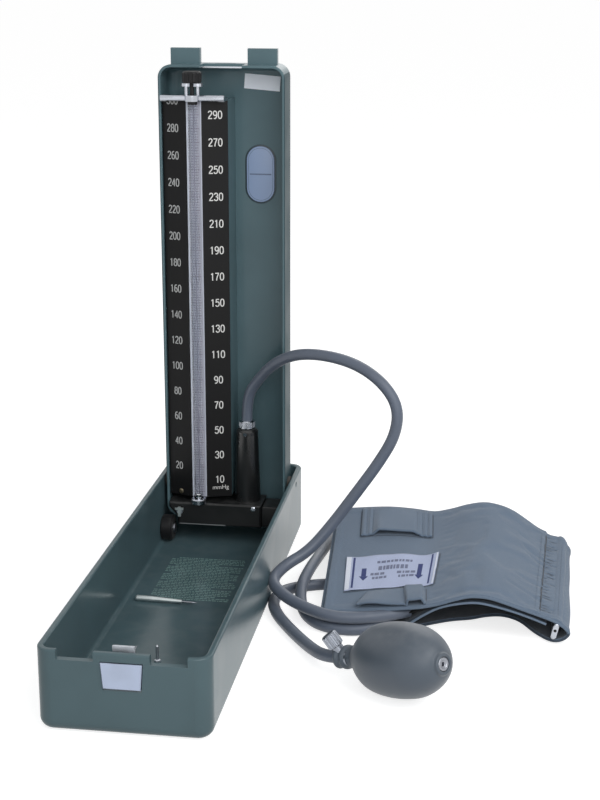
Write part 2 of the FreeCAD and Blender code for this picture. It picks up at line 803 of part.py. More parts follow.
def make_yoke():
    """The bar across the top of the scale, its two headed posts, and the clamping screw that
    turns between them."""
    half = "(scale_width / 2 - bar_set_in)"
    bar = rod((f"{TUBE_X} - {half}", TUBE_Y, BAR_Z), "bar_radius", f"2 * {half}", ALONG_X)
    boss = rod((TUBE_X, TUBE_Y, f"{BAR_Z} - bar_radius"), "post_offset + post_radius", "2 * bar_radius")
    reach = f"({SCALE_EDGE} + 2 * scale_plate - {TUBE_Y})"
    lug_height = f"({BAR_Z} - {SCALE_TOP})"
    lugs = [
        box((at, TUBE_Y, SCALE_TOP), "2 * bar_radius", reach, lug_height)
        for at in (f"{TUBE_X} - {half}", f"{TUBE_X} + {half} - 2 * bar_radius")
    ]
    bore = rod(
        (TUBE_X, TUBE_Y, f"{BAR_Z} - 2 * bar_radius"), "cap_stem_radius + pin_clearance",
        "4 * bar_radius",
    )
    keep("yoke_bar", cut(fuse(bar, boss, *lugs), bore))
    flange_top = f"({FLANGE_LOW} + flange_height)"
    posts = [
        turned("post", [
            ("0", BAR_TOP), ("post_radius", BAR_TOP), ("post_radius", FLANGE_LOW),
            ("flange_radius", f"{FLANGE_LOW} + 0.5"), ("flange_radius", flange_top),
            ("0", flange_top),
        ], (f"{TUBE_X} {sign} post_offset", TUBE_Y, "0"))
        for sign in "-+"
    ]
    room = rod((TUBE_X, TUBE_Y, BAR_TOP), "cap_stem_radius + tube_gap", "cap_height * 2")
    keep("yoke_posts", cut(group(*posts), room))

    stem_low = f"({SCALE_TOP} + pin_clearance)"
    cap_top = f"({CAP_LOW} + cap_height)"
    knob = turned("cap", [
        ("0", stem_low), ("cap_stem_radius", stem_low), ("cap_stem_radius", CAP_LOW),
        ("cap_radius - 0.8", CAP_LOW), ("cap_radius", f"{CAP_LOW} + 0.8"),
        ("cap_radius", f"{cap_top} - 1.2"), ("cap_radius - 1.2", cap_top), ("0", cap_top),
    ], (TUBE_X, TUBE_Y, "0"))
    keep("tube_cap_screw", cut(knob, *flutes(
        (TUBE_X, TUBE_Y), "cap_radius", f"{CAP_LOW} - 1", "cap_height + 2", 14
    )))


def flutes(centre, radius, low, height, count):
    """Upright rods that cut grip grooves round a knob."""
    return [
        rod(
            (f"{centre[0]} + ({radius} + 0.3) * {math.cos(turn):.5f}",
             f"{centre[1]} + ({radius} + 0.3) * {math.sin(turn):.5f}", low),
            "0.8", height,
        )
        for turn in (2 * math.pi * step / count for step in range(count))
    ]


def make_manifold():
    """The black block that joins tube and reservoir, with the shut-off cock at its left."""
    body = new_body("manifold_block")
    floor = f"({LID_FOOT} + lid_wall)"
    face = outline(body, "XZ_Plane", [
        (f"{BLOCK_LEFT} + block_toe", floor), (BLOCK_RIGHT, floor), (BLOCK_RIGHT, BLOCK_TOP),
        (BLOCK_LEFT, BLOCK_TOP), (BLOCK_LEFT, f"{BLOCK_TOP} - block_drop"),
    ], lift=f"-({BLOCK_FRONT} + block_depth)")
    feature(body, "Pad", face, Length="block_depth")
    # the toe hangs in front of the lid's end wall
    toe = rectangle(
        body, "XZ_Plane", (f"{BLOCK_LEFT} + block_toe", BLOCK_LOW), (BLOCK_RIGHT, floor),
        lift=f"-({LID_FRONT} - tube_gap)",
    )
    feature(body, "Pad", toe, Length="block_ahead - tube_gap")
    bevelled(body, "1.2", lies_at("y", BLOCK_FRONT))
    bore = rod(
        (COCK_X, f"{BLOCK_FRONT} - 2", COCK_Z), "cock_radius + pin_clearance", "cock_length + 2",
        ALONG_Y,
    )
    keep("manifold_block", cut(body, bore))

    plug = rod(
        (COCK_X, f"{BLOCK_FRONT} - lever_thickness", COCK_Z), "cock_radius",
        "cock_length + lever_thickness - tube_gap", ALONG_Y,
    )
    port = rod(
        (f"{COCK_X} - 2 * cock_radius", f"{BLOCK_FRONT} + cock_length / 2", COCK_Z),
        "cock_radius / 3", "4 * cock_radius", ALONG_X,
    )
    keep("cock_plug", cut(plug, port))
    front = f"({BLOCK_FRONT} - 2 * lever_thickness)"
    lever = box(
        (f"{COCK_X} - lever_width / 2", front, f"{COCK_Z} - lever_height / 2"),
        "lever_width", "lever_thickness", "lever_height",
    )
    prong = box(
        (f"{COCK_X} - prong_span / 2", front, f"{COCK_Z} + lever_height / 5"),
        "prong_span", "lever_thickness", "lever_width * 0.7",
    )
    keep("cock_lever", fuse(lever, prong))


def slotted_screw(node, at, turn):
    """A domed screw head with a driver slot, seated at a point and facing along a direction."""
    head = turned(node, [
        ("0", "0"), ("screw_radius", "0"), ("screw_radius", "screw_head_height / 2"),
        ("screw_radius * 0.6", "screw_head_height"), ("0", "screw_head_height"),
    ], at, turn)
    slot = box(("0", "0", "0"), "screw_radius * 3", "screw_radius / 3", "screw_head_height")
    slot.Placement = Placement(Vector(), Rotation(Vector(*turn[0]), turn[1]))
    shift = slot.Placement.Rotation.multVec(Vector(
        number("screw_radius * -1.5"), number("screw_radius / -6"), number("screw_head_height * 0.6")
    ))
    for axis, text, extra in zip("xyz", at, shift):
        slot.setExpression(f"Placement.Base.{axis}", cells(f"{text} + {extra:.4f}"))
    keep(node, cut(head, slot))


def make_screws():
    """The screw in the block's face and the small one low on the scale plate."""
    slotted_screw("manifold_screw", (
        f"{BLOCK_RIGHT} - 3 * screw_radius", BLOCK_FRONT, f"{BLOCK_TOP} - 1.3 * screw_radius"
    ), ((1, 0, 0), 90))
    wing = "(scale_width / 2 - strip_width / 2 - tube_gap)"
    out = f"({wing} / 2)"
    slope = math.atan(number(f"scale_ridge / {wing}"))
    slotted_screw("scale_screw", (
        f"{TUBE_X} - strip_width / 2 - tube_gap - {out}", f"{SCALE_RIDGE} + scale_ridge / 2",
        f"{SCALE_LOW} + screw_radius + 1",
    ), aim(Vector(-math.sin(slope), -math.cos(slope), 0)))


def aim(direction):
    """The turn that takes +Z to a direction."""
    turn = Rotation(Vector(0, 0, 1), direction)
    return (tuple(turn.Axis), math.degrees(turn.Angle))


def make_reservoir():
    """The tapered mercury reservoir on the block, with its filter, shoulder and hose collar."""
    centre = (RESERVOIR_X, RESERVOIR_Y, "0")
    bore = "(reservoir_top_radius - reservoir_wall)"
    floor = f"({BLOCK_TOP} + reservoir_wall)"
    keep("reservoir_cup", turned("cup", [
        ("0", BLOCK_TOP), ("reservoir_foot_radius", BLOCK_TOP),
        ("reservoir_top_radius", RESERVOIR_TOP), (bore, RESERVOIR_TOP), (bore, floor), ("0", floor),
    ], centre))
    level = f"({BLOCK_TOP} + mercury_depth)"
    keep("reservoir_mercury", turned("pool", [
        ("0", floor), (bore, floor), (bore, f"{level} - 0.6"), (f"{bore} - 0.6", level), ("0", level),
    ], centre))
    inner = "(reservoir_top_radius - reservoir_wall * 0.75)"
    keep("reservoir_filter", turned("filter", [
        ("0", RESERVOIR_TOP), (inner, RESERVOIR_TOP), (inner, SHOULDER_LOW), ("0", SHOULDER_LOW),
    ], centre))
    shoulder = turned("shoulder", [
        (inner, RESERVOIR_TOP), ("reservoir_top_radius", RESERVOIR_TOP),
        ("reservoir_top_radius", f"{SHOULDER_LOW} + shoulder_height * 0.3"),
        ("(reservoir_top_radius + shoulder_radius) / 2", f"{COLLAR_LOW} - shoulder_height * 0.2"),
        ("shoulder_radius", COLLAR_LOW), ("valve_bore", COLLAR_LOW), ("valve_bore", SHOULDER_LOW),
        (inner, SHOULDER_LOW),
    ], centre)
    collar = turned("collar", [
        ("valve_bore", COLLAR_LOW), ("collar_radius - 0.5", COLLAR_LOW),
        ("collar_radius", f"{COLLAR_LOW} + 0.5"), ("collar_radius", f"{COLLAR_TOP} - 0.8"),
        ("collar_radius - 0.8", COLLAR_TOP), ("valve_bore", COLLAR_TOP),
    ], centre)
    keep("hose_collar", cut(collar, *flutes(
        (RESERVOIR_X, RESERVOIR_Y), "collar_radius", f"{COLLAR_LOW} + 1", "collar_height - 2", 16
    )))
    # the vent screw's shank goes through the shoulder's skirt
    skirt = "(reservoir_wall / 2)"
    vent_at = (RESERVOIR_X, f"{RESERVOIR_Y} - reservoir_top_radius", f"{RESERVOIR_TOP} + filter_height")
    vent = turned("vent", [
        ("0", f"-{skirt}"), ("screw_radius / 2", f"-{skirt}"), ("screw_radius / 2", "0"),
        ("screw_radius * 0.7", "0"), ("screw_radius * 0.7", "screw_head_height"),
        ("0", "screw_head_height"),
    ], vent_at, ((1, 0, 0), 90))
    socket = rod((RESERVOIR_X, f"{RESERVOIR_Y} - reservoir_top_radius - 1", vent_at[2]),
                 "screw_radius / 2", f"1 + {skirt}", ALONG_Y)
    keep("reservoir_shoulder", cut(shoulder, socket))
    keep("vent_screw", vent)


BADGE_X = f"({LID_X} - badge_inset)"
BADGE_Z = f"({LID_TOP} - badge_drop)"
STICKER_TILT = 4.5


def make_lid_plates():
    """The oval blank plate and the small blank label on the lid's panel."""
    front = f"({LID_PANEL} - badge_thickness)"
    half = "(badge_height / 2 - badge_width / 2)"
    middle = box(
        (f"{BADGE_X} - badge_width / 2", front, f"{BADGE_Z} - {half}"),
        "badge_width", "badge_thickness", f"2 * {half}",
    )
    ends = [
        rod((BADGE_X, front, f"{BADGE_Z} {sign} {half}"), "badge_width / 2",
            "badge_thickness", ALONG_Y)
        for sign in "-+"
    ]
    keep("badge_plate", fuse(middle, *ends))
    at = (f"{LID_X} - sticker_inset", LID_PANEL, f"{LID_TOP} - sticker_drop")
    label = new_body("blank_label", at, ((0, 1, 0), STICKER_TILT))
    face = rectangle(
        label, "XZ_Plane", ("-sticker_width / 2", "-sticker_height / 2"),
        ("sticker_width / 2", "sticker_height / 2"),
    )
    feature(label, "Pad", face, Length="sticker_thickness")
    keep("blank_label", label)


# ---- Loose pieces in the tray ----
TOOL_AT = ("-tool_side", "tool_along", "base_floor + tool_radius + pin_clearance")
TOOL_AIM = (1.0, -0.064, 0.0)


def make_tray_pieces():
    """The post in the tray and the cleaning needle that lies on its floor."""
    top = "(base_floor + peg_height)"
    keep("tray_post", turned("post", [
        ("0", "base_floor"), ("peg_radius * 2", "base_floor"), ("peg_radius * 2", "base_floor + 1"),
        ("peg_radius", "base_floor + 1.5"), ("peg_radius", f"{top} - 0.6"),
        ("peg_radius * 0.5", top), ("0", top),
    ], ("-peg_side", "-peg_along", "0")))
    turn = aim(Vector(*TOOL_AIM))
    keep("needle_handle", turned("handle", [
        ("0", "0"), ("tool_radius * 0.8", "0"), ("tool_radius", "1"),
        ("tool_radius", "tool_length * 0.35"), ("tool_radius * 0.62", "tool_length"),
        ("0", "tool_length"),
    ], TOOL_AT, turn))
    tip = "(tool_length + tool_tip_length)"
    keep("cleaning_needle", turned("needle", [
        ("0", "tool_length"), ("tool_tip_radius", "tool_length"),
        ("tool_tip_radius", "tool_length + tool_tip_length * 0.7"), ("0", tip),
    ], TOOL_AT, turn))


# ---- Bulb and its valves ----
BULB_AIM = Vector(0.845, -0.478, 0.237).normalize()
SCREW_AIM = Vector(-0.62, 0.1, 0.78).normalize()
BULB_TURN = aim(BULB_AIM)
NECK_END = "(bulb_half_length + bulb_neck_length)"
BODY_END = f"({NECK_END} + body_length)"


def along_bulb(distance):
    """A point on the bulb's axis, counted from its centre towards the end valve."""
    centre = ("bulb_side", "-bulb_along", "bulb_rise")
    return tuple(
        f"({text} + ({distance}) * {part:.6f})" for text, part in zip(centre, BULB_AIM)
    )


def make_bulb():
    """The hollow rubber bulb with its neck and rim."""
    at = along_bulb("0")
    egg = solid("Ellipsoid", at, BULB_TURN, Radius1="bulb_half_length",
                Radius2="bulb_radius", Radius3="bulb_radius")
    hollow = solid("Ellipsoid", at, BULB_TURN, Radius1="bulb_half_length - bulb_wall",
                   Radius2="bulb_radius - bulb_wall", Radius3="bulb_radius - bulb_wall")
    for piece in (egg, hollow):
        piece.Angle1 = -90
        piece.Angle2 = 90
    neck = turned("neck", [
        ("0", f"-{NECK_END}"), ("bulb_neck_radius * 0.8", f"-{NECK_END}"),
        ("bulb_neck_radius", f"-{NECK_END} + 1.5"), ("bulb_neck_radius", "-bulb_half_length * 0.8"),
        ("0", "-bulb_half_length * 0.8"),
    ], at, BULB_TURN)
    rim = turned("rim", [
        ("0", "bulb_half_length * 0.8"), ("bulb_neck_radius", "bulb_half_length * 0.8"),
        ("bulb_neck_radius", "bulb_half_length - 1"), ("bulb_neck_radius - 1", "bulb_half_length"),
        ("0", "bulb_half_length"),
    ], at, BULB_TURN)
    mouth = rod(at, "valve_radius", "bulb_half_length + 5", BULB_TURN)
    throat = rod(along_bulb(f"-{NECK_END} - 5"), "body_radius", f"{NECK_END} + 5", BULB_TURN)
    keep("bulb_rubber", cut(fuse(egg, neck, rim), hollow, mouth, throat))


def make_end_valve():
    """The intake valve in the bulb's far end, with its ball in a chamber."""
    at = along_bulb("0")
    low = "(bulb_half_length - valve_length)"
    chamber = "(ball_radius + tube_gap * 2)"
    top = "(bulb_half_length + 2.6)"
    keep("end_valve", turned("end_valve", [
        ("valve_bore", low), ("valve_radius", low), ("valve_radius", "bulb_half_length"),
        ("valve_flange", "bulb_half_length"), ("valve_flange", f"{top} - 0.8"),
        ("valve_flange - 0.8", top), ("valve_bore", top), ("valve_bore", f"{low} + 7"),
        (chamber, f"{low} + 6.4"), (chamber, f"{low} + 1.6"), ("valve_bore", f"{low} + 1.6"),
    ], at, BULB_TURN))
    lift = "(sqrt(ball_radius ^ 2 - valve_bore ^ 2) + pin_clearance)"
    keep("valve_ball", solid("Sphere", along_bulb(f"{low} + 1.6 + {lift}"), Radius="ball_radius"))


SCREW_AT = along_bulb(f"-({NECK_END} + body_length * 0.4)")
SCREW_TURN = aim(SCREW_AIM)


def make_release_valve():
    """The valve body in the bulb's neck, its ferrule, and the screw that lets the air out."""
    at = along_bulb("0")
    barrel = turned("barrel", [
        ("0", f"-{BODY_END}"), ("hose_radius + 0.8", f"-{BODY_END}"),
        ("hose_radius + 0.8", f"-{BODY_END} + 3"), ("body_radius - 0.6", f"-{BODY_END} + 3.6"),
        ("body_radius - 0.6", f"-{NECK_END} - 2"), ("body_flange_radius", f"-{NECK_END} - 2"),
        ("body_flange_radius", f"-{NECK_END}"), ("body_radius", f"-{NECK_END}"),
        ("body_radius", "-bulb_half_length"), ("0", "-bulb_half_length"),
    ], at, BULB_TURN)
    boss = rod(SCREW_AT, "boss_radius", "boss_length", SCREW_TURN)
    seat = turned("seat", [
        ("0", "boss_radius - 1"), ("needle_radius + pin_clearance", "boss_radius - 1"),
        ("needle_radius + pin_clearance", "boss_length + 1"), ("0", "boss_length + 1"),
    ], SCREW_AT, SCREW_TURN)
    keep("release_valve", cut(fuse(barrel, boss), seat))
    knob_low = "(boss_length + tube_gap)"
    knob_top = f"({knob_low} + knob_length)"
    knob = turned("knob", [
        ("0", "boss_radius - 0.5"), ("needle_radius * 0.4", "boss_radius - 0.5"),
        ("needle_radius", "boss_radius + 1"), ("needle_radius", knob_low),
        ("knob_radius - 0.6", knob_low), ("knob_radius", f"{knob_low} + 0.6"),
        ("knob_radius", f"{knob_top} - 0.8"), ("knob_radius - 0.8", knob_top), ("0", knob_top),
    ], SCREW_AT, SCREW_TURN)
    turn = Rotation(Vector(0, 0, 1), SCREW_AIM)
    grip = []
    for step in range(14):
        angle = 2 * math.pi * step / 14
        out = turn.multVec(Vector(math.cos(angle), math.sin(angle), 0))
        foot = [
            f"{text} + (knob_radius + 0.3) * {side:.5f} + ({knob_low} - 1) * {up:.5f}"
            for text, side, up in zip(SCREW_AT, out, SCREW_AIM)
        ]
        grip.append(rod(foot, "0.7", "knob_length + 2", SCREW_TURN))
    keep("release_screw", cut(knob, *grip))


# ---- Hoses ----
# Each route is in millimetres from the tray's centre, and runs to its stub in the cuff.
GAUGE_ROUTE = [
    (15.3, 140, 96.8), (15.3, 140, 114), (20, 135.5, 131), (34, 124.5, 148), (56, 108, 161),
    (81, 91, 166.5), (105, 77, 163), (124, 68.5, 151), (135, 64, 133), (135.5, 62, 112),
    (125, 60.5, 92), (108.5, 58.5, 71), (92, 55, 50), (76, 48, 32.5), (62, 35.5, 22.5),
    (57.3, 16.5, 18), (65, -0.5, 14.8), (82, -13, 13.5), (101, -20.5, 13), (122, -20, 13),
    (141, -10, 13), (150, -4, 13),
]
BULB_ROUTE = [
    (111.3, -78.9, 12.1), (98.5, -71.7, 8.5), (84.5, -53, 4.7), (71.8, -27.5, 4.2),
    (61.8, -2.5, 4.2), (57, 19, 4.2), (61, 39.5, 4.2), (76, 52.5, 4.2), (97, 58.5, 4.2),
    (119, 62.5, 4.2), (138, 74.5, 4.2), (149, 95, 4.2), (152, 118, 4.2), (148, 140, 4.2),
    (137, 158, 4.2), (122, 168.5, 4.2), (104, 170.5, 4.2), (87.5, 160.5, 5), (81, 142, 6.8),
    (78.6, 117, 9.5), (76.5, 89, 12.3), (74.5, 56, 14.5), (72.8, 31, 10.3), (78, 6, 4.9),
    (89.5, -12, 4.2), (106, -20, 4.2), (123.5, -17.5, 4.4), (137.5, -4, 7.6), (147.5, 10.5, 12.5),
]


def hose(node, route):
    """A plain tube along straight runs joined by tangent arcs."""
    points = [Vector(*point) for point in route]
    edges = []
    start = points[0]
    radii = []
    for before, corner, after in zip(points, points[1:], points[2:]):
        back = before - corner
        ahead = after - corner
        reach = 0.45 * min(back.Length, ahead.Length)
        half_turn = (math.pi - back.getAngle(ahead)) / 2
        radius = reach / math.tan(half_turn)
        first = corner + back.normalize() * reach
        last = corner + ahead.normalize() * reach
        inward = (back + ahead).normalize()
        middle = corner + inward * (radius / math.cos(half_turn) - radius)
        edges.append(Part.LineSegment(start, first).toShape())
        edges.append(Part.Arc(first, middle, last).toShape())
        start = last
        radii.append(radius)
    edges.append(Part.LineSegment(start, points[-1]).toShape())
    path = Part.Wire(edges)
    radius = number("hose_radius")
    ring = Part.makeCircle(radius, points[0], points[1] - points[0])
    obj = doc.addObject("Part::Feature", "Hose")
    obj.Shape = path.makePipeShell([Part.Wire(ring)], True, False)
    ratio = obj.Shape.Volume / (math.pi * radius ** 2 * path.Length)
    print(f"{node}: {path.Length:.1f} mm long, tightest radius {min(radii):.1f} mm, "
          f"volume {ratio:.4f} of section x length")
    print("  radii", " ".join(f"{r:.0f}" for r in radii))
    keep(node, obj)


# ---- Cuff ----
# Lines of the cuff's layers, as (side, height), seen along the cuff at its front and rear edges
WRAP_FRONT = [
    (94, 14.1), (120, 16.4), (150, 20.2), (175, 27), (195, 29.9), (214, 26.5), (236, 18.5),
    (250, 13), (254.6, 7.8), (250, 2.8), (232, 3.8), (205, 6.4), (180, 5.4), (160, 2.4),
]
WRAP_REAR = [
    (84, 27.1), (115, 30.6), (150, 30.8), (175, 31), (195, 33.4), (214, 34.4), (236, 27),
    (251, 17.5), (256.8, 10), (251, 3.8), (233, 2.3), (205, 4), (180, 3.4), (160, 1.8),
]
BLADDER_FRONT = [(156, 12.5), (170, 18.2), (183, 24.6), (196, 26.3), (213, 23), (230, 16.8), (238, 13.6)]
BLADDER_REAR = [(156, 27.4), (170, 27.4), (183, 28.6), (196, 30.1), (213, 31), (230, 26.4), (238, 22.4)]
LINING_FRONT = [(158, 5.6), (165, 8), (174, 14.5), (184, 20.5), (196, 22.8), (213, 19.5), (230, 13.6), (238, 10.4)]
LINING_REAR = [(158, 23.4), (165, 23.6), (174, 24), (184, 25.1), (196, 26.5), (213, 27.4), (230, 23), (238, 19)]
CUFF_LOW = "(-cuff_front)"
CUFF_HIGH = "(cuff_width - cuff_front)"


def line_at(front, rear, depth):
    """The layer's line at a depth between the cuff's two edges, as vectors."""
    share = (depth - number(CUFF_LOW)) / number("cuff_width")
    return [
        Vector(a[0] + (b[0] - a[0]) * share, depth, a[1] + (b[1] - a[1]) * share)
        for a, b in zip(front, rear)
    ]


def smooth(points):
    """A curve through points."""
    curve = Part.BSplineCurve()
    curve.interpolate(points)
    return curve


def band(points, thickness):
    """The closed section of a layer: its line, thickened to both sides."""
    curve = smooth(points)
    sides = ([], [])
    for point in points:
        along = curve.tangent(curve.parameter(point))[0]
        out = Vector(-along.z, 0, along.x).normalize() * (thickness / 2)
        sides[0].append(point + out)
        sides[1].append(point - out)
    upper = smooth(sides[0])
    lower = smooth(sides[1])
    return Part.Wire([
        upper.toShape(), Part.LineSegment(sides[0][-1], sides[1][-1]).toShape(),
        lower.toShape(), Part.LineSegment(sides[1][0], sides[0][0]).toShape(),
    ])


def layer(front, rear, low, high, thickness):
    """A layer of the cuff between two depths."""
    obj = doc.addObject("Part::Feature", "Layer")
    depth = number(thickness)
    sections = [band(line_at(front, rear, number(y)), depth) for y in (low, high)]
    obj.Shape = Part.makeLoft(sections, True, True)
    return obj


def on_wrap(wrap, sides, depth, lift):
    """Points at a height above the wrap's top, at given sides and one depth."""
    points = []
    for side in sides:
        plumb = Part.makeLine(Vector(side, depth, -50), Vector(side, depth, 90))
        top = plumb.common(wrap.Shape).BoundBox.ZMax
        points.append(Vector(side, depth, top + lift))
    return points


def patch(node, wrap, low, depth, low_sides, high_sides, thickness):
    """A thin piece sewn on the wrap from a depth on, which follows its top."""
    lift = number(f"cuff_gap + {thickness} / 2")
    sections = []
    for start, (left, right) in ((low, low_sides), (f"{low} + {depth}", high_sides)):
        sides = [left + (right - left) * step / 6 for step in range(7)]
        sections.append(band(on_wrap(wrap, sides, number(start), lift), number(thickness)))
    obj = doc.addObject("Part::Feature", "Patch")
    obj.Shape = Part.makeLoft(sections, True, True)
    keep(node, obj)


def stub(route):
    """The bladder's short tube, which takes up a hose's end in line with it."""
    end = Vector(*route[-1])
    turn = aim(end - Vector(*route[-2]))
    return rod([f"{value}" for value in end], "hose_radius", "stub_length", turn)


def make_cuff():
    """The folded wrap, its lining with the bladder between, the sewn pieces and the ring."""
    wrap = keep("cuff_wrap", layer(WRAP_FRONT, WRAP_REAR, CUFF_LOW, CUFF_HIGH, "fabric"))
    keep("cuff_lining", layer(LINING_FRONT, LINING_REAR, CUFF_LOW, CUFF_HIGH, "fabric"))
    bladder = layer(
        BLADDER_FRONT, BLADDER_REAR, f"{CUFF_LOW} + 2 * fabric", f"{CUFF_HIGH} - 2 * fabric",
        "bladder_thickness",
    )
    keep("cuff_bladder", fuse(bladder, stub(GAUGE_ROUTE), stub(BULB_ROUTE)))
    patch("cuff_label", wrap, f"{CUFF_LOW} + label_setback", "label_depth", (103, 161), (106, 165),
          "label_thickness")
    patch("cuff_strap", wrap, f"{CUFF_HIGH} - strap_inset - strap_depth", "strap_depth", (101, 158),
          (99, 157), "fabric")
    patch("cuff_flap", wrap, f"{CUFF_LOW} + flap_setback", "flap_depth", (118, 148), (121, 151), "fabric")
    tail_front = f"{CUFF_HIGH} - tail_inset - tail_depth"
    tail = new_body("cuff_tail", ("tail_side", tail_front, "2 * hose_radius + fabric / 3"))
    plan = rectangle(tail, "XY_Plane", ("0", "0"), ("tail_width", "tail_depth"))
    feature(tail, "Pad", plan, Length="tail_height")
    rounded(tail, "tail_height * 0.4", runs_along("y"))
    keep("cuff_tail", tail)

    run = "(cuff_width + 2 * ring_proud - 2 * ring_bend - 2 * ring_wire)"
    front = f"({CUFF_LOW} - ring_proud + ring_bend + ring_wire)"
    bars = [
        rod(("ring_side", front, f"ring_rise {sign} ring_bend"), "ring_wire", run, ALONG_Y)
        for sign in "-+"
    ]
    bends = []
    for at, spin in ((front, 180), (f"{front} + {run}", 0)):
        turn = Rotation(Vector(1, 0, 0), spin) * Rotation(Vector(0, 1, 0), 90)
        bend = solid("Torus", ("ring_side", at, "ring_rise"),
                     (tuple(turn.Axis), math.degrees(turn.Angle)),
                     Radius1="ring_bend", Radius2="ring_wire")
        bend.Angle3 = 180
        bends.append(bend)
    keep("cuff_ring", fuse(*bars, *bends))


def check_and_write():
    """Refuses a failed object, then writes each sub-part's shape."""
    doc.recompute()
    for obj in doc.Objects:
        if "Invalid" in obj.State or "Error" in obj.State:
            raise RuntimeError(f"{obj.Name} {obj.Label} failed: {obj.State}")
    for node, obj in PARTS.items():
        if obj.Shape.isNull() or not obj.Shape.isValid() or not obj.Shape.Solids:
            raise RuntimeError(f"{node} has no valid solid")
    os.makedirs("parts", exist_ok=True)
    for node, obj in PARTS.items():
        obj.Shape.exportStep(f"parts/{node}.step")
        print(f"{node}: {len(obj.Shape.Solids)} solid, {obj.Shape.Volume:.1f} mm3")


make_tray()
make_lid()
make_strike()
make_hinge()
make_stop()
make_latch()
make_scale()
make_tube()
make_yoke()
make_manifold()
make_screws()
make_reservoir()
make_lid_plates()
make_tray_pieces()
make_bulb()
make_end_valve()
make_release_valve()
hose("hose_gauge", GAUGE_ROUTE)
hose("hose_bulb", BULB_ROUTE)
make_cuff()
check_and_write()
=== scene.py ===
import math
import random

import bmesh
import bpy
from mathutils import Matrix, Vector, noise
from mathutils.bvhtree import BVHTree


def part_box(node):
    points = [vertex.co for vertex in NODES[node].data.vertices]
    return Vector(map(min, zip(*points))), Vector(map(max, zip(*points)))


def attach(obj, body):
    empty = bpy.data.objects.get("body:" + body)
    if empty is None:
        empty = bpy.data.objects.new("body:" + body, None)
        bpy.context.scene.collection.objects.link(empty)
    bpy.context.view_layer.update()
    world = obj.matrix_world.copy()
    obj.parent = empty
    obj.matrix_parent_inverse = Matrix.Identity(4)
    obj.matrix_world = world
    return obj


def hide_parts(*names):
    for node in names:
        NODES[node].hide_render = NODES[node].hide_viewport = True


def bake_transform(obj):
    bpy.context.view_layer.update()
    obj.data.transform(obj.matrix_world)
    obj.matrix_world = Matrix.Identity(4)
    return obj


bl_info = {
    "name": "Desk blood-pressure gauge",
    "version": (1, 0, 0),
    "blender": (4, 5, 0),
    "location": "3D View > Sidebar > Gauge",
    "description": "Dresses the packed model of a mercury blood-pressure gauge",
    "category": "Object",
}

# Lengths are in millimetres where a name or a comment doesn't say otherwise, and the scene is in
# metres.
MM = 0.001

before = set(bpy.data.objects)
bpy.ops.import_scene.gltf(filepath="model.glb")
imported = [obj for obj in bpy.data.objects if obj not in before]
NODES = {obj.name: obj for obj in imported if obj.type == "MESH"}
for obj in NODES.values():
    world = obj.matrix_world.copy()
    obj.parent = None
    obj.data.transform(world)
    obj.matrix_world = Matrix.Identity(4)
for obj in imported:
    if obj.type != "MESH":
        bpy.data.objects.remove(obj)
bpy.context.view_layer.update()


def linear(red, green, blue):
    """A screen colour from 0 to 255 as the linear colour that shaders take."""
    def channel(value):
        value = value / 255
        return value / 12.92 if value <= 0.04045 else ((value + 0.055) / 1.055) ** 2.4
    return (channel(red), channel(green), channel(blue), 1.0)


# ---- Settings ----
class StageSettings(bpy.types.PropertyGroup):
    """Where the camera stands and how bright the light is."""
    eye: bpy.props.FloatVectorProperty(
        name="Eye", description="Camera's place", default=(0.22386, -0.99174, 0.44305),
        subtype="TRANSLATION", unit="LENGTH", precision=4,
    )
    turn: bpy.props.FloatProperty(
        name="Turn", description="How far the camera is turned to the left",
        default=math.radians(8.475), subtype="ANGLE",
    )
    dip: bpy.props.FloatProperty(
        name="Dip", description="How far the camera looks down",
        default=math.radians(16.048), subtype="ANGLE",
    )
    roll: bpy.props.FloatProperty(
        name="Roll", description="How far the camera leans", default=math.radians(0.0757),
        subtype="ANGLE",
    )
    lens: bpy.props.FloatProperty(
        name="Lens", description="Focal length on a 36 mm sensor", default=72.414,
        min=10, max=300, unit="CAMERA",
    )
    sky: bpy.props.FloatProperty(
        name="Sky", description="Strength of the light from all round", default=0.42,
        min=0, max=3,
    )
    window: bpy.props.FloatProperty(
        name="Window", description="Power of the large soft lamp, in watts", default=10.5,
        min=0, max=100,
    )


class CaseSettings(bpy.types.PropertyGroup):
    """The enamelled case."""
    paint: bpy.props.FloatVectorProperty(
        name="Paint", description="Colour of the enamel", default=linear(75, 96, 102),
        size=4, subtype="COLOR", min=0, max=1,
    )
    # This colour lightens the enamel's rounded edges, for rubbing and as painted highlight.
    worn: bpy.props.FloatVectorProperty(
        name="Worn edge", description="Colour where edges have rubbed",
        default=linear(118, 138, 144), size=4, subtype="COLOR", min=0, max=1,
    )
    gloss: bpy.props.FloatProperty(
        name="Roughness", description="Roughness of the enamel", default=0.34, min=0, max=1,
        subtype="FACTOR",
    )


class ScaleSettings(bpy.types.PropertyGroup):
    """The printed scale."""
    zero: bpy.props.FloatProperty(
        name="Zero", description="Height of the scale's zero above the table",
        default=0.0423, unit="LENGTH", precision=4,
    )
    division: bpy.props.FloatProperty(
        name="Division", description="Height of one millimetre of mercury on the scale",
        default=0.000967, unit="LENGTH", precision=6,
    )
    digit: bpy.props.FloatProperty(
        name="Digit", description="Height of the numbers", default=0.0056, unit="LENGTH",
        precision=4,
    )
    ground: bpy.props.FloatVectorProperty(
        name="Ground", description="Colour of the scale's face", default=linear(22, 22, 23),
        size=4, subtype="COLOR", min=0, max=1,
    )


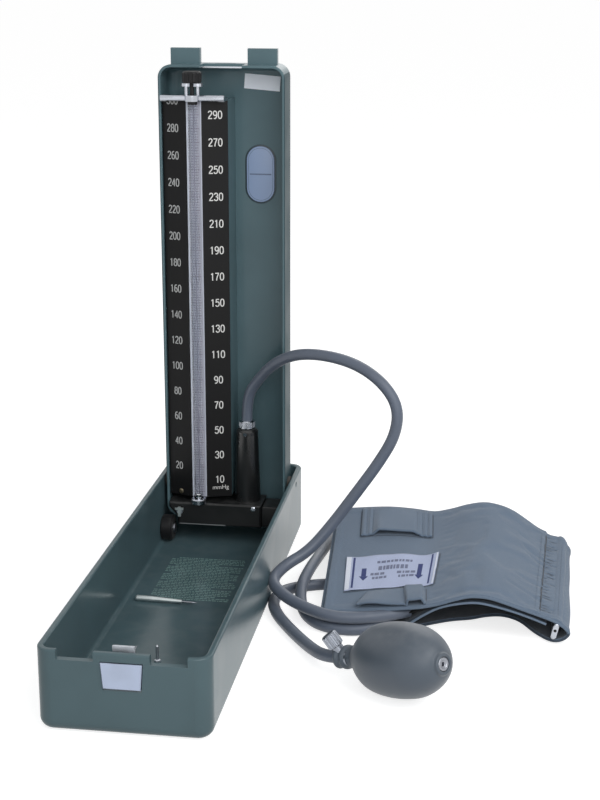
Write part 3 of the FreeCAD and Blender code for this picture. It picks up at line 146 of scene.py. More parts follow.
class RubberSettings(bpy.types.PropertyGroup):
    """Hoses and bulb."""
    hose: bpy.props.FloatVectorProperty(
        name="Hose", description="Colour of the hoses", default=linear(88, 97, 112),
        size=4, subtype="COLOR", min=0, max=1,
    )
    bulb: bpy.props.FloatVectorProperty(
        name="Bulb", description="Colour of the bulb", default=linear(76, 86, 97),
        size=4, subtype="COLOR", min=0, max=1,
    )
    bore: bpy.props.FloatProperty(
        name="Hose diameter", description="Outer diameter of the hoses", default=0.008,
        unit="LENGTH", precision=4,
    )


class CuffSettings(bpy.types.PropertyGroup):
    """The cloth cuff."""
    cloth: bpy.props.FloatVectorProperty(
        name="Cloth", description="Colour of the cuff's cloth", default=linear(107, 123, 142),
        size=4, subtype="COLOR", min=0, max=1,
    )
    thread: bpy.props.FloatProperty(
        name="Thread", description="Distance between two threads of the weave", default=0.0007,
        unit="LENGTH", precision=5,
    )
    slack: bpy.props.FloatProperty(
        name="Slack", description="Share by which the cloth is larger than its pad", default=0.012,
        min=0, max=0.2, subtype="FACTOR",
    )
    travel: bpy.props.FloatProperty(
        name="Travel", description="Most that a wrinkle stands off the pad", default=0.0007,
        unit="LENGTH", precision=4,
    )


SETTINGS = {
    "gauge_stage": StageSettings,
    "gauge_case": CaseSettings,
    "gauge_scale": ScaleSettings,
    "gauge_rubber": RubberSettings,
    "gauge_cuff": CuffSettings,
}


# ---- Making meshes ----
def spot(x, y, z):
    """A point given in millimetres, in metres."""
    return Vector((x, y, z)) * MM


def new_object(name, data):
    """Links a new object to the scene."""
    obj = bpy.data.objects.new(name, data)
    bpy.context.scene.collection.objects.link(obj)
    return obj


def from_bmesh(name, bm, sharp=35):
    """An object from a bmesh, smooth except at edges sharper than an angle in degrees."""
    bmesh.ops.recalc_face_normals(bm, faces=bm.faces)
    mesh = bpy.data.meshes.new(name)
    bm.to_mesh(mesh)
    bm.free()
    mesh.shade_smooth()
    mesh.set_sharp_from_angle(angle=math.radians(sharp))
    return new_object(name, mesh)


def coat(data, finish):
    """Gives a mesh or curve one finish and no other."""
    data.materials.clear()
    data.materials.append(FINISHES[finish])


def dress(obj, body, finish, slot, *nodes):
    """Gives a piece its finish and body, and the CAD nodes that it stands for."""
    coat(obj.data, finish)
    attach(obj, body)
    if nodes:
        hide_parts(*nodes)
    return obj


def rounded(profile, radius):
    """An open line with its inner corners rounded, each by a little under half of its runs."""
    steps, most = 4, 0.45
    line = [profile[0]]
    for before, corner, after in zip(profile, profile[1:], profile[2:]):
        back = Vector(before) - Vector(corner)
        ahead = Vector(after) - Vector(corner)
        cut = min(radius, back.length * most, ahead.length * most)
        start = Vector(corner) + back.normalized() * cut
        end = Vector(corner) + ahead.normalized() * cut
        for step in range(steps + 1):
            u = step / steps
            bend = Vector(corner) * 2 * u * (1 - u)
            line.append(start * (1 - u) ** 2 + bend + end * u ** 2)
    line.append(profile[-1])
    return [tuple(point) for point in line]


def join_rings(bm, rings):
    """Faces between each two rings of points; a ring may be a single point."""
    for lower, upper in zip(rings, rings[1:]):
        count = max(len(lower), len(upper))
        for step in range(count):
            following = (step + 1) % count
            corners = {
                lower[step % len(lower)]: None, lower[following % len(lower)]: None,
                upper[following % len(upper)]: None, upper[step % len(upper)]: None,
            }
            if len(corners) > 2:
                bm.faces.new(list(corners))


def join_rails(bm, rails):
    """Faces of a ribbon between its two sides."""
    for (a, b), (c, d) in zip(rails, rails[1:]):
        bm.faces.new((a, b, d, c))


def lathe(name, profile, foot, aim, segments):
    """A turned piece: (radius, height) pairs in millimetres round an axis through its foot."""
    turn = Vector(aim).to_track_quat("Z", "Y").to_matrix().to_4x4()
    place = Matrix.Translation(Vector(foot)) @ turn
    bm = bmesh.new()
    rings = []
    for radius, height in profile:
        if radius < 1e-6:
            rings.append([bm.verts.new(spot(0, 0, height))])
            continue
        ring = []
        for step in range(segments):
            angle = 2 * math.pi * step / segments
            across = spot(radius * math.cos(angle), radius * math.sin(angle), height)
            ring.append(bm.verts.new(across))
        rings.append(ring)
    join_rings(bm, rings)
    bm.transform(place)
    return from_bmesh(name, bm)


def plate(name, outline, thickness, place, bevel):
    """A flat piece: its outline in millimetres, extruded along its own +Z, edges rounded."""
    bm = bmesh.new()
    face = bm.faces.new([bm.verts.new(spot(x, y, 0)) for x, y in outline])
    raised = bmesh.ops.extrude_face_region(bm, geom=[face])
    moved = [item for item in raised["geom"] if isinstance(item, bmesh.types.BMVert)]
    bmesh.ops.translate(bm, verts=moved, vec=spot(0, 0, thickness))
    bmesh.ops.bevel(
        bm, geom=bm.edges[:], offset=bevel * MM, segments=3, affect="EDGES", profile=0.5,
    )
    bm.transform(place)
    return from_bmesh(name, bm, sharp=30)


def oval(width, height, steps=16):
    """An outline with round ends: a rectangle's middle and two half circles."""
    radius = width / 2
    rise = height / 2 - radius
    points = []
    for sign in (1, -1):
        for step in range(steps + 1):
            angle = math.pi * step / steps
            across, up = radius * math.cos(angle), rise + radius * math.sin(angle)
            points.append((sign * across, sign * up))
    return points


def rectangle(width, height, corner):
    """An outline of a rectangle about its middle, its corners rounded."""
    steps = 5
    points = []
    for quarter, (sx, sy) in enumerate(((1, 1), (-1, 1), (-1, -1), (1, -1))):
        for step in range(steps + 1):
            angle = math.pi / 2 * (quarter + step / steps)
            points.append((
                sx * (width / 2 - corner) + corner * math.cos(angle),
                sy * (height / 2 - corner) + corner * math.sin(angle),
            ))
    return points


def through(points, steps):
    """A smooth line through points, evenly split between each two."""
    points = [Vector(point) for point in points]
    line = []
    ends = [2 * points[0] - points[1], *points, 2 * points[-1] - points[-2]]
    for a, b, c, d in zip(ends, ends[1:], ends[2:], ends[3:]):
        for step in range(steps):
            t = step / steps
            square = (2 * a - 5 * b + 4 * c - d) * t ** 2
            cube = (3 * b - a - 3 * c + d) * t ** 3
            line.append(b + ((c - a) * t + square + cube) / 2)
    line.append(points[-1])
    return line


def facing(at, out, up=(0, 0, 1)):
    """The place of a flat piece whose own +Z looks along out and whose +Y is near up."""
    z = Vector(out).normalized()
    x = Vector(up).cross(z).normalized()
    y = z.cross(x)
    return Matrix.Translation(Vector(at)) @ Matrix((x, y, z)).transposed().to_4x4()


def add_quad(bm, place, left, right, low, high):
    """A flat four-sided mark on a plane, in millimetres."""
    corners = ((left, low), (right, low), (right, high), (left, high))
    bm.faces.new([bm.verts.new(place @ spot(x, y, 0)) for x, y in corners])


# ---- Shader parts ----
def put(tree, kind, inputs=(), **settings):
    """Adds a node, sets its properties, and fills or links its inputs."""
    node = tree.nodes.new(kind)
    for name, value in settings.items():
        setattr(node, name, value)
    for key, value in dict(inputs).items():
        if isinstance(value, bpy.types.NodeSocket):
            tree.links.new(value, node.inputs[key])
        else:
            node.inputs[key].default_value = value
    return node


def sum_up(tree, operation, *values, clamp=False):
    """A Math node's output."""
    node = put(tree, "ShaderNodeMath", enumerate(values), operation=operation, use_clamp=clamp)
    return node.outputs[0]


def ranged(tree, value, low, high, to_low=0.0, to_high=1.0):
    """A value taken from one range to another, smoothly."""
    inputs = {
        "Value": value, "From Min": low, "From Max": high, "To Min": to_low, "To Max": to_high,
    }
    node = put(tree, "ShaderNodeMapRange", inputs, interpolation_type="SMOOTHSTEP")
    return node.outputs["Result"]


def clouds(tree, scale, detail):
    """Noise over the object's own coordinates."""
    inputs = {"Vector": here(tree), "Scale": scale, "Detail": detail}
    return put(tree, "ShaderNodeTexNoise", inputs).outputs["Fac"]


def mixed(tree, share, first, second):
    """A colour between two, by a share."""
    node = put(tree, "ShaderNodeMix", data_type="RGBA")
    sockets = {item.identifier: item for item in node.inputs}
    for key, value in (("Factor_Float", share), ("A_Color", first), ("B_Color", second)):
        if isinstance(value, bpy.types.NodeSocket):
            tree.links.new(value, sockets[key])
        else:
            sockets[key].default_value = value
    return next(item for item in node.outputs if item.identifier == "Result_Color")


def group(name, inputs, outputs, build):
    """A shader node group with named float inputs and outputs, filled by build."""
    tree = bpy.data.node_groups.new(name, "ShaderNodeTree")
    for label, default in inputs.items():
        socket = tree.interface.new_socket(label, in_out="INPUT", socket_type="NodeSocketFloat")
        socket.default_value = default
    for label in outputs:
        tree.interface.new_socket(label, in_out="OUTPUT", socket_type="NodeSocketFloat")
    given = tree.nodes.new("NodeGroupInput").outputs
    results = build(tree, given)
    taken = tree.nodes.new("NodeGroupOutput").inputs
    for label, value in results.items():
        tree.links.new(value, taken[label])
    return tree


def placed(tree, name, **inputs):
    """The outputs of a node group placed in a material, with its own values."""
    node = tree.nodes.new("ShaderNodeGroup")
    node.node_tree = bpy.data.node_groups[name]
    for label, value in inputs.items():
        node.inputs[label.replace("_", " ")].default_value = value
    return node.outputs


def here(tree):
    """The object's own coordinates, in metres."""
    return tree.nodes.new("ShaderNodeTexCoord").outputs["Object"]


def grain_relief(tree, given):
    """Fine unevenness of a coat or moulding, and broad patches of it."""
    broad = sum_up(tree, "DIVIDE", given["Scale"], given["Spread"])
    return {
        "Height": clouds(tree, given["Scale"], 3.0),
        "Patches": ranged(tree, clouds(tree, broad, 2.0), 0.35, 0.65),
    }


def edge_wear(tree, given):
    """A mask of rounded edges, broken up by noise: where hands and tables rub them, and where they
    carry painted highlight.
    """
    rounded_normal = put(tree, "ShaderNodeBevel", {"Radius": given["Width"]}, samples=4)
    true_normal = tree.nodes.new("ShaderNodeNewGeometry").outputs["Normal"]
    turn = put(tree, "ShaderNodeVectorMath", {0: rounded_normal.outputs["Normal"], 1: true_normal},
               operation="DOT_PRODUCT").outputs["Value"]
    bent = ranged(tree, sum_up(tree, "SUBTRACT", 1.0, turn), 0.02, 0.2)
    worn = ranged(tree, clouds(tree, given["Scale"], 4.0), 0.3, 0.7, 0.35, 1.0)
    return {"Mask": sum_up(tree, "MULTIPLY", bent, worn, clamp=True)}


def weave(tree, given):
    """Over-and-under threads of a plain weave."""
    split = put(tree, "ShaderNodeSeparateXYZ", {"Vector": here(tree)}).outputs
    turns = sum_up(tree, "DIVIDE", math.pi, given["Spacing"])
    lean = sum_up(tree, "ADD", split["Y"], split["Z"])
    warp = sum_up(tree, "SINE", sum_up(tree, "MULTIPLY", split["X"], turns))
    weft = sum_up(tree, "SINE", sum_up(tree, "MULTIPLY", lean, turns))
    over = sum_up(tree, "MULTIPLY", warp, weft)
    fuzz = sum_up(tree, "SUBTRACT", clouds(tree, given["Fuzz"], 4.0), 0.5)
    rough = sum_up(tree, "MULTIPLY", fuzz, 1.4)
    height = sum_up(tree, "ADD", sum_up(tree, "MULTIPLY", over, 0.5), rough)
    return {"Height": height, "Shade": ranged(tree, height, -0.7, 0.7)}


def dust(tree, given):
    """A thin veil on faces that look up."""
    normal = tree.nodes.new("ShaderNodeTexCoord").outputs["Normal"]
    up = put(tree, "ShaderNodeSeparateXYZ", {"Vector": normal}).outputs["Z"]
    lying = ranged(tree, up, 0.2, 0.95)
    broken = ranged(tree, clouds(tree, given["Scale"], 5.0), 0.35, 0.75)
    return {"Mask": sum_up(tree, "MULTIPLY", lying, broken)}


def held_sides(tree, given):
    """A mask of what lies between two distances to the left or right of the middle."""
    split = put(tree, "ShaderNodeSeparateXYZ", {"Vector": here(tree)}).outputs
    away = sum_up(tree, "ABSOLUTE", split["X"])
    past = sum_up(tree, "GREATER_THAN", away, given["Inner"])
    short = sum_up(tree, "LESS_THAN", away, given["Outer"])
    return {"Mask": sum_up(tree, "MULTIPLY", past, short)}


def make_effects():
    """The node groups that more than one material uses."""
    group("Grain", {"Scale": 1500.0, "Spread": 60.0}, ("Height", "Patches"), grain_relief)
    group("Edge wear and highlight", {"Width": 0.001, "Scale": 300.0}, ("Mask",), edge_wear)
    group("Weave", {"Spacing": 0.0007, "Fuzz": 900.0}, ("Height", "Shade"), weave)
    group("Dust", {"Scale": 120.0}, ("Mask",), dust)
    group("Side band", {"Inner": 0.04, "Outer": 0.05}, ("Mask",), held_sides)


# ---- Materials ----
FINISHES = {}


def start(name):
    """A new material's tree and its Principled shader."""
    material = bpy.data.materials.new(name)
    material.use_nodes = True
    tree = material.node_tree
    shader = next(node for node in tree.nodes if node.type == "BSDF_PRINCIPLED")
    FINISHES[name] = material
    return tree, shader


def fill(tree, shader, **inputs):
    """Sets or links the shader's sockets by name."""
    for label, value in inputs.items():
        socket = shader.inputs[label.replace("_", " ")]
        if isinstance(value, bpy.types.NodeSocket):
            tree.links.new(value, socket)
        else:
            socket.default_value = value


def bump(tree, height, distance):
    """A Bump node's normal, from a height and the depth of its relief in metres."""
    inputs = {"Height": height, "Distance": distance, "Strength": 1.0}
    return put(tree, "ShaderNodeBump", inputs).outputs["Normal"]


def shaded(colour, share):
    """A colour made darker or lighter by a factor."""
    return tuple(min(1.0, value * share) for value in tuple(colour)[:3]) + (1.0,)


def aged(tree, share, dark, light, *layers):
    """A colour between two by a share, under layers of (mask, strength, colour)."""
    body = mixed(tree, share, dark, light)
    for mask, strength, over in layers:
        body = mixed(tree, sum_up(tree, "MULTIPLY", mask, strength), body, over)
    return body


# Grey that lies on enamel and on mouldings, how far from the middle the lid's outer sides begin
# and end, in metres, and the share of the paint's colour left there as painted shade; their gloss
# is dulled too.
ENAMEL_DUST = linear(170, 172, 170)
MOULDING_DUST = linear(185, 186, 186)
LID_SIDES = {"Inner": 0.0447, "Outer": 0.0470}
SIDE_PAINTED_SHADE = 0.55


def enamel(name, colour, edge, roughness, dull_and_shade_sides=0.0):
    """Glossy enamel, its edges lighter for rubbing and as painted highlight; dull_and_shade_sides
    dulls the lid's sides and paints shade on them.
    """
    tree, shader = start(name)
    skin = placed(tree, "Grain", Scale=1500.0, Spread=70.0)
    worn = placed(tree, "Edge wear and highlight", Width=0.0006, Scale=260.0)["Mask"]
    veil = placed(tree, "Dust", Scale=90.0)["Mask"]
    held = placed(tree, "Side band", **LID_SIDES)["Mask"]
    body = aged(tree, skin["Patches"], shaded(colour, 0.95), shaded(colour, 1.05),
                (worn, 0.22, edge), (veil, 0.05, ENAMEL_DUST))
    if dull_and_shade_sides:
        # held masks the lid's outer sides; their colour darkens there as painted shade.
        body = mixed(tree, held, body, shaded(colour, SIDE_PAINTED_SHADE))
    rough = ranged(tree, skin["Patches"], 0.0, 1.0, roughness - 0.03, roughness + 0.04)
    gloss = ranged(tree, held, 0.0, 1.0, 0.5, 0.5 * (1 - dull_and_shade_sides))
    fill(tree, shader, Base_Color=body, Roughness=rough, Specular_IOR_Level=0.02, Coat_Weight=gloss,
         Coat_Roughness=0.19, Normal=bump(tree, skin["Height"], 0.000012))


def lacquer(name, colour, edge, roughness, wear, gloss, specular=0.5):
    """Black enamel or lacquer with orange peel, dust, and edges lightened for rubbing and as
    painted highlight.
    """
    tree, shader = start(name)
    skin = placed(tree, "Grain", Scale=1600.0, Spread=70.0)
    worn = placed(tree, "Edge wear and highlight", Width=0.0007, Scale=260.0)["Mask"]
    veil = placed(tree, "Dust", Scale=90.0)["Mask"]
    body = aged(tree, skin["Patches"], shaded(colour, 0.94), shaded(colour, 1.05),
                (worn, wear, edge), (veil, 0.06, ENAMEL_DUST))
    rough = ranged(tree, skin["Patches"], 0.0, 1.0, roughness - 0.04, roughness + 0.05)
    fill(tree, shader, Base_Color=body, Roughness=rough, Coat_Weight=gloss, Coat_Roughness=0.2,
         Specular_IOR_Level=specular, Normal=bump(tree, skin["Height"], 0.00002))


def metal(name, colour, roughness, wear=0.3, relief=0.000006):
    """Bare or plated metal with fine scratches and duller patches."""
    tree, shader = start(name)
    skin = placed(tree, "Grain", Scale=2600.0, Spread=40.0)
    worn = placed(tree, "Edge wear and highlight", Width=0.0003, Scale=700.0)["Mask"]
    # Edges are lightened for rubbing and as painted highlight.
    body = aged(tree, skin["Patches"], shaded(colour, 0.9), colour,
                (worn, wear, linear(235, 236, 238)))
    rough = ranged(tree, skin["Patches"], 0.0, 1.0, roughness, roughness + 0.12)
    fill(tree, shader, Base_Color=body, Metallic=1.0, Roughness=rough,
         Normal=bump(tree, skin["Height"], relief))


def moulding(name, colour, roughness, scale=2200.0, relief=0.000012, sheen=0.0, specular=0.5,
             mottle=0.08):
    """Plastic, rubber or print: fine skin, slight patches and a little dust."""
    tree, shader = start(name)
    skin = placed(tree, "Grain", Scale=scale, Spread=55.0)
    veil = placed(tree, "Dust", Scale=150.0)["Mask"]
    body = aged(tree, skin["Patches"], shaded(colour, 1 - mottle), shaded(colour, 1 + mottle),
                (veil, 0.05, MOULDING_DUST))
    rough = ranged(tree, skin["Patches"], 0.0, 1.0, roughness - 0.05, roughness + 0.06)
    fill(tree, shader, Base_Color=body, Roughness=rough, Sheen_Weight=sheen,
         Specular_IOR_Level=specular, Normal=bump(tree, skin["Height"], relief))


def cloth(name, colour, spacing, relief=0.00016, sheen=0.25):
    """Plain-woven cloth with fuzz, faded patches, and edges paler for wear and as painted
    highlight.
    """
    tree, shader = start(name)
    threads = placed(tree, "Weave", Spacing=spacing, Fuzz=1400.0)
    skin = placed(tree, "Grain", Scale=500.0, Spread=22.0)
    worn = placed(tree, "Edge wear and highlight", Width=0.0009, Scale=500.0)["Mask"]
    body = aged(tree, threads["Shade"], shaded(colour, 0.82), shaded(colour, 1.12),
                (skin["Patches"], 0.35, shaded(colour, 0.9)), (worn, 0.3, shaded(colour, 1.5)))
    fill(tree, shader, Base_Color=body, Roughness=0.88, Sheen_Weight=sheen, Sheen_Roughness=0.4,
         Specular_IOR_Level=0.25, Normal=bump(tree, threads["Height"], relief))


def clear_glass():
    """Clear glass of the measuring tube."""
    tree, shader = start("clear glass")
    skin = placed(tree, "Grain", Scale=60.0, Spread=8.0)
    tint = mixed(tree, skin["Patches"], linear(244, 247, 249), linear(250, 251, 252))
    fill(tree, shader, Base_Color=tint, Roughness=0.03, IOR=1.15, Transmission_Weight=1.0)


# Mouldings and prints: screen colour, roughness and what differs from the usual skin.
MOULDINGS = {
    "black moulding": ((24, 25, 26), 0.42, {"specular": 0.35}),
    "worn black": ((118, 122, 124), 0.5, {}),
    "strip": ((155, 157, 170), 0.45, {"mottle": 0.02, "specular": 0.3}),
    "strip edge": ((200, 206, 218), 0.4, {"mottle": 0.02}),
    "tube line": ((120, 112, 128), 0.4, {"mottle": 0.02}),
    "number print": ((222, 222, 220), 0.5, {"mottle": 0.02}),
    "number print left": ((178, 180, 180), 0.5, {"mottle": 0.05}),
    "tick print": ((112, 102, 118), 0.5, {"mottle": 0.03}),
    "panel print": ((112, 146, 142), 0.55, {"mottle": 0.12}),
    "badge face": ((150, 170, 204), 0.4, {"mottle": 0.02}),
    "badge line": ((98, 114, 142), 0.4, {"mottle": 0.02}),
    "badge seat": ((46, 62, 70), 0.5, {"mottle": 0.03}),
    "paper": ((240, 246, 255), 0.55, {"mottle": 0.02}),
    "grey print": ((96, 104, 132), 0.6, {"mottle": 0.03}),
    "fibre": ((58, 54, 50), 0.8, {"mottle": 0.15}),
    "black rubber": ((18, 18, 20), 0.5, {"sheen": 0.05, "specular": 0.25}),
}
# Metals: screen colour, roughness and what differs from the usual wear.
METALS = {
    "bright steel": ((150, 153, 160), 0.26, {}),
    "polished plate": ((186, 190, 198), 0.18, {}),
    "valve plate": ((138, 143, 152), 0.2, {}),
    "zinc": ((196, 200, 206), 0.48, {}),
    "button plate": ((163, 173, 193), 0.4, {"wear": 0.4}),
    "satin aluminium": ((206, 214, 214), 0.34, {}),
    "dull brass": ((120, 112, 92), 0.5, {}),
    "mercury": ((206, 208, 212), 0.04, {"relief": 0.0}),
}
# Copies of the cuff's cloth that share its weave, and how light each is beside the cuff's own
# cloth.
# All but the cuff cloth are painted light: the lining and shaded cloths are painted shade, the fold
# and seam shadow cloths painted shadow, and the lit hem cloth a painted highlight.
CUFF_CLOTHS = {
    "cuff cloth": 1.0, "lining cloth": 0.30, "gather cloth": 0.56, "crease cloth": 0.26,
    "hem cloth": 1.12, "shaded cloth": 0.42,
}
# Cloths of the label, woven from threads half as thick.
LABEL_CLOTHS = {
    "label cloth": (182, 192, 220), "label ink": (62, 72, 120), "label fold": (226, 232, 246),
}


def make_finishes(scene):
    """Every material of the gauge."""
    case, rubber, cuff = scene.gauge_case, scene.gauge_rubber, scene.gauge_cuff
    enamel("case enamel", case.paint, case.worn, case.gloss)
    # The lid's enamel is the paint made 1.36 times lighter, as painted light for the lid's shaded
    # recess; its outer sides get painted shade.
    enamel("lid enamel painted lighter", shaded(case.paint, 1.36), case.worn, case.gloss, dull_and_shade_sides=1.0)
    lacquer("scale lacquer", scene.gauge_scale.ground, linear(60, 60, 62), 0.5, 0.2, 0.0, 0.16)
    lacquer("black enamel", linear(20, 21, 22), linear(70, 72, 74), 0.26, 0.3, 0.3)
    for make, table in ((moulding, MOULDINGS), (metal, METALS)):
        for name, (screen, roughness, more) in table.items():
            make(name, linear(*screen), roughness, **more)
    moulding("hose rubber", rubber.hose, 0.42, scale=1400.0, sheen=0.1, mottle=0.05)
    moulding("bulb rubber", shaded(rubber.bulb, 0.93), 0.46, scale=1200.0, relief=0.00002,
             sheen=0.12, mottle=0.05)
    clear_glass()
    for name, share in CUFF_CLOTHS.items():
        cloth(name, shaded(cuff.cloth, share), cuff.thread)
    for name, screen in LABEL_CLOTHS.items():
        cloth(name, linear(*screen), cuff.thread * 0.5, relief=0.00005, sheen=0.1)
    cloth("sewing thread", shaded(cuff.cloth, 0.66), 0.0004, relief=0.00005)


# The finish of each CAD node, also of those that other pieces stand for.
NODE_FINISHES = {
    "case enamel": ("base_tray",),
    "lid enamel painted lighter": ("lid_shell", "scale_channel"),
    "bright steel": (
        "hinge_pins", "stop_studs", "latch_bracket", "latch_pin", "latch_spring", "cleaning_needle",
        "valve_ball",
    ),
    "zinc": ("latch_hook", "strike_plate", "tray_post"),
    "fibre": ("hinge_washers", "reservoir_filter"),
    "black rubber": (
        "stop_buffers", "tube_lower_seal", "tube_upper_seal", "tube_cap_screw", "cuff_bladder",
    ),
    "scale lacquer": ("scale_plate",),
    "strip": ("graduated_strip",),
    "clear glass": ("glass_tube",),
    "mercury": ("tube_mercury", "reservoir_mercury"),
    "black moulding": ("manifold_block",),
    "black enamel": ("reservoir_cup", "reservoir_shoulder"),
    "polished plate": (
        "tube_seat", "yoke_bar", "yoke_posts", "cock_plug", "manifold_screw",
        "hose_collar", "vent_screw", "cuff_ring", "end_valve",
    ),
    "valve plate": ("release_valve", "release_screw"),
    "dull brass": ("scale_screw",),
    "satin aluminium": ("needle_handle", "cock_lever"),
    "button plate": ("latch_button",),
    "badge face": ("badge_plate",),
    "paper": ("blank_label",),
    "bulb rubber": ("bulb_rubber",),
    "cuff cloth": ("cuff_wrap", "cuff_strap", "cuff_flap", "cuff_tail"),
    "lining cloth": ("cuff_lining",),
    "label cloth": ("cuff_label",),
}


def dress_nodes():
    """Gives the CAD nodes their finishes."""
    for finish, nodes in NODE_FINISHES.items():
        for node in nodes:
            coat(NODES[node].data, finish)


# ---- Stage ----
# The floor, in metres: half its width, and how far it lies under the table's height. Its grey and
# its glow together look white to the camera.
FLOOR_REACH = 20
FLOOR_DROP = 0.0002
FLOOR_GREY = 0.62
FLOOR_GLOW = 0.73
# Each lamp's name, place and size in metres, and its power as a share of the window's.
LAMP_TARGET = (0.05, 0.0, 0.12)
LAMPS = (
    ("window", (0.95, -0.8, 1.15), 0.9, 1.0),
    ("front fill", (0.35, -1.5, 0.75), 0.9, 0.72),
    ("back fill", (0.3, 1.3, 1.0), 1.0, 0.4),
)


def make_camera(settings):
    """The camera, from its place and three angles."""
    camera = bpy.data.cameras.new("camera")
    camera.sensor_width = 36
    camera.lens = settings.lens
    camera.clip_start = 0.02
    camera.clip_end = 60
    ahead = Vector((
        -math.sin(settings.turn) * math.cos(settings.dip),
        math.cos(settings.turn) * math.cos(settings.dip),
        -math.sin(settings.dip),
    ))
    level = Vector((math.cos(settings.turn), math.sin(settings.turn), 0))
    above = level.cross(ahead)
    right = level * math.cos(settings.roll) + above * math.sin(settings.roll)
    up = above * math.cos(settings.roll) - level * math.sin(settings.roll)
    obj = new_object("camera", camera)
    axes = Matrix((right, up, -ahead)).transposed().to_4x4()
    obj.matrix_world = Matrix.Translation(Vector(settings.eye)) @ axes
    bpy.context.scene.camera = obj


def seen_directly(tree):
    """1 for rays from the camera, and for those that mirrors and glass send on."""
    path = tree.nodes.new("ShaderNodeLightPath").outputs
    either = sum_up(tree, "MAXIMUM", path["Is Camera Ray"], path["Is Glossy Ray"])
    return sum_up(tree, "MAXIMUM", either, path["Is Transmission Ray"])


def make_world(settings):
    """Soft light from all round, with a white background."""
    world = bpy.data.worlds.new("soft light")
    bpy.context.scene.world = world
    world.use_nodes = True
    tree = world.node_tree
    background = next(node for node in tree.nodes if node.type == "BACKGROUND")
    background.inputs["Color"].default_value = (1, 1, 1, 1)
    rest = sum_up(tree, "MULTIPLY", seen_directly(tree), 1 - settings.sky)
    strength = sum_up(tree, "ADD", rest, settings.sky)
    tree.links.new(strength, background.inputs["Strength"])


def make_floor():
    """A wide pale floor that looks white and keeps the gauge's shadow."""
    bm = bmesh.new()
    bmesh.ops.create_grid(bm, x_segments=1, y_segments=1, size=FLOOR_REACH)
    bmesh.ops.translate(bm, verts=bm.verts, vec=(0, 0, -FLOOR_DROP))
    floor = from_bmesh("floor", bm)
    material = bpy.data.materials.new("pale floor")
    material.use_nodes = True
    tree = material.node_tree
    tree.nodes.clear()
    matt = put(tree, "ShaderNodeBsdfDiffuse", {"Color": (*[FLOOR_GREY] * 3, 1)})
    glow = put(tree, "ShaderNodeEmission", {"Color": (1, 1, 1, 1), "Strength": FLOOR_GLOW})
    none = put(tree, "ShaderNodeEmission", {"Color": (0, 0, 0, 1), "Strength": 0.0})
    lift = put(tree, "ShaderNodeMixShader", {
        0: seen_directly(tree), 1: none.outputs[0], 2: glow.outputs[0],
    })
    both = put(tree, "ShaderNodeAddShader", {0: matt.outputs[0], 1: lift.outputs[0]})
    put(tree, "ShaderNodeOutputMaterial", {"Surface": both.outputs[0]})
    floor.data.materials.append(material)


def make_lamps(settings):
    """Square soft lamps: a large one above on the right, one in front and a weak one behind."""
    for name, place, size, share in LAMPS:
        lamp = bpy.data.lights.new(name, "AREA")
        lamp.size = size
        lamp.energy = settings.window * share
        obj = new_object(name, lamp)
        obj.location = place
        obj.rotation_mode = "QUATERNION"
        aim = Vector(LAMP_TARGET) - Vector(place)
        obj.rotation_quaternion = aim.to_track_quat("-Z", "Y")


# ---- Hoses ----
# Both routes are in millimetres and repeat the centre lines that the solids follow.
GAUGE_ROUTE = [
    (15.3, 140, 96.8), (15.3, 140, 115), (24.6, 135.4, 129.4), (38.2, 123.4, 145.6),
    (57.3, 107.2, 157.6), (81, 89.7, 162.1), (104.7, 76, 159.9), (123.7, 68, 149.4),
    (134.8, 64.2, 133.5), (133.1, 62.3, 114.1), (122.1, 60.7, 94.2), (106.7, 58.5, 71.9),
    (90.8, 54.7, 49.4), (75.3, 47.4, 31.2), (60, 37.4, 24), (52.6, 20.2, 18.6), (64.8, 3.6, 15.2),
    (82.7, -11, 13.5), (100.5, -20.8, 13), (120.9, -19.6, 13), (141, -10, 13), (150, -4, 13),
]
BULB_ROUTE = [
    (111.3, -78.9, 12.1), (102.6, -73.9, 9.6), (90.2, -52.6, 5.2), (73.9, -26, 4.2),
    (60.1, -0.8, 4.2), (54, 20.6, 4.2), (58.2, 40, 4.2), (74.2, 51.2, 4.2), (95.6, 57.8, 4.2),
    (117.9, 62.1, 4.2), (137, 74.4, 4.2), (148.1, 95.2, 4.2), (151, 118.4, 4.2), (147, 140.6, 4.2),
    (136, 158.8, 4.2), (120.6, 169, 4.2), (102, 171, 4.2), (86, 162.2, 5), (80, 143.5, 6.8),
    (78.9, 118, 9.5), (77.3, 89.8, 12.3), (74.6, 56.7, 14.5), (71.6, 31.3, 10.3), (76.6, 6, 4.9),
    (88.1, -12.9, 4.2), (105.8, -20.8, 4.2), (122.9, -18.5, 4.4), (137.5, -4, 7.6),
    (147.5, 10.5, 12.5),
]


def tube_curve(name, kind, line, radius, bevel_steps):
    """A round bar with closed ends along points in millimetres, and its spline."""
    curve = bpy.data.curves.new(name, "CURVE")
    curve.dimensions = "3D"
    curve.bevel_depth = radius
    curve.bevel_resolution = bevel_steps
    curve.use_fill_caps = True
    spline = curve.splines.new(kind)
    spline.points.add(len(line) - 1)
    for point, place in zip(spline.points, line):
        point.co = (*spot(*place), 1)
    return curve, spline


def hose_curve(name, route, diameter):
    """A hose along a smooth spline that a route's points pull on."""
    curve, spline = tube_curve(name, "NURBS", route, diameter / 2, 7)
    curve.resolution_u = 14
    spline.order_u = 3
    spline.use_endpoint_u = True
    return curve


def meshed(name, data):
    """The mesh of a curve or a text."""
    holder = bpy.data.objects.new(name, data)
    mesh = bpy.data.meshes.new_from_object(holder)
    bpy.data.objects.remove(holder)
    return mesh


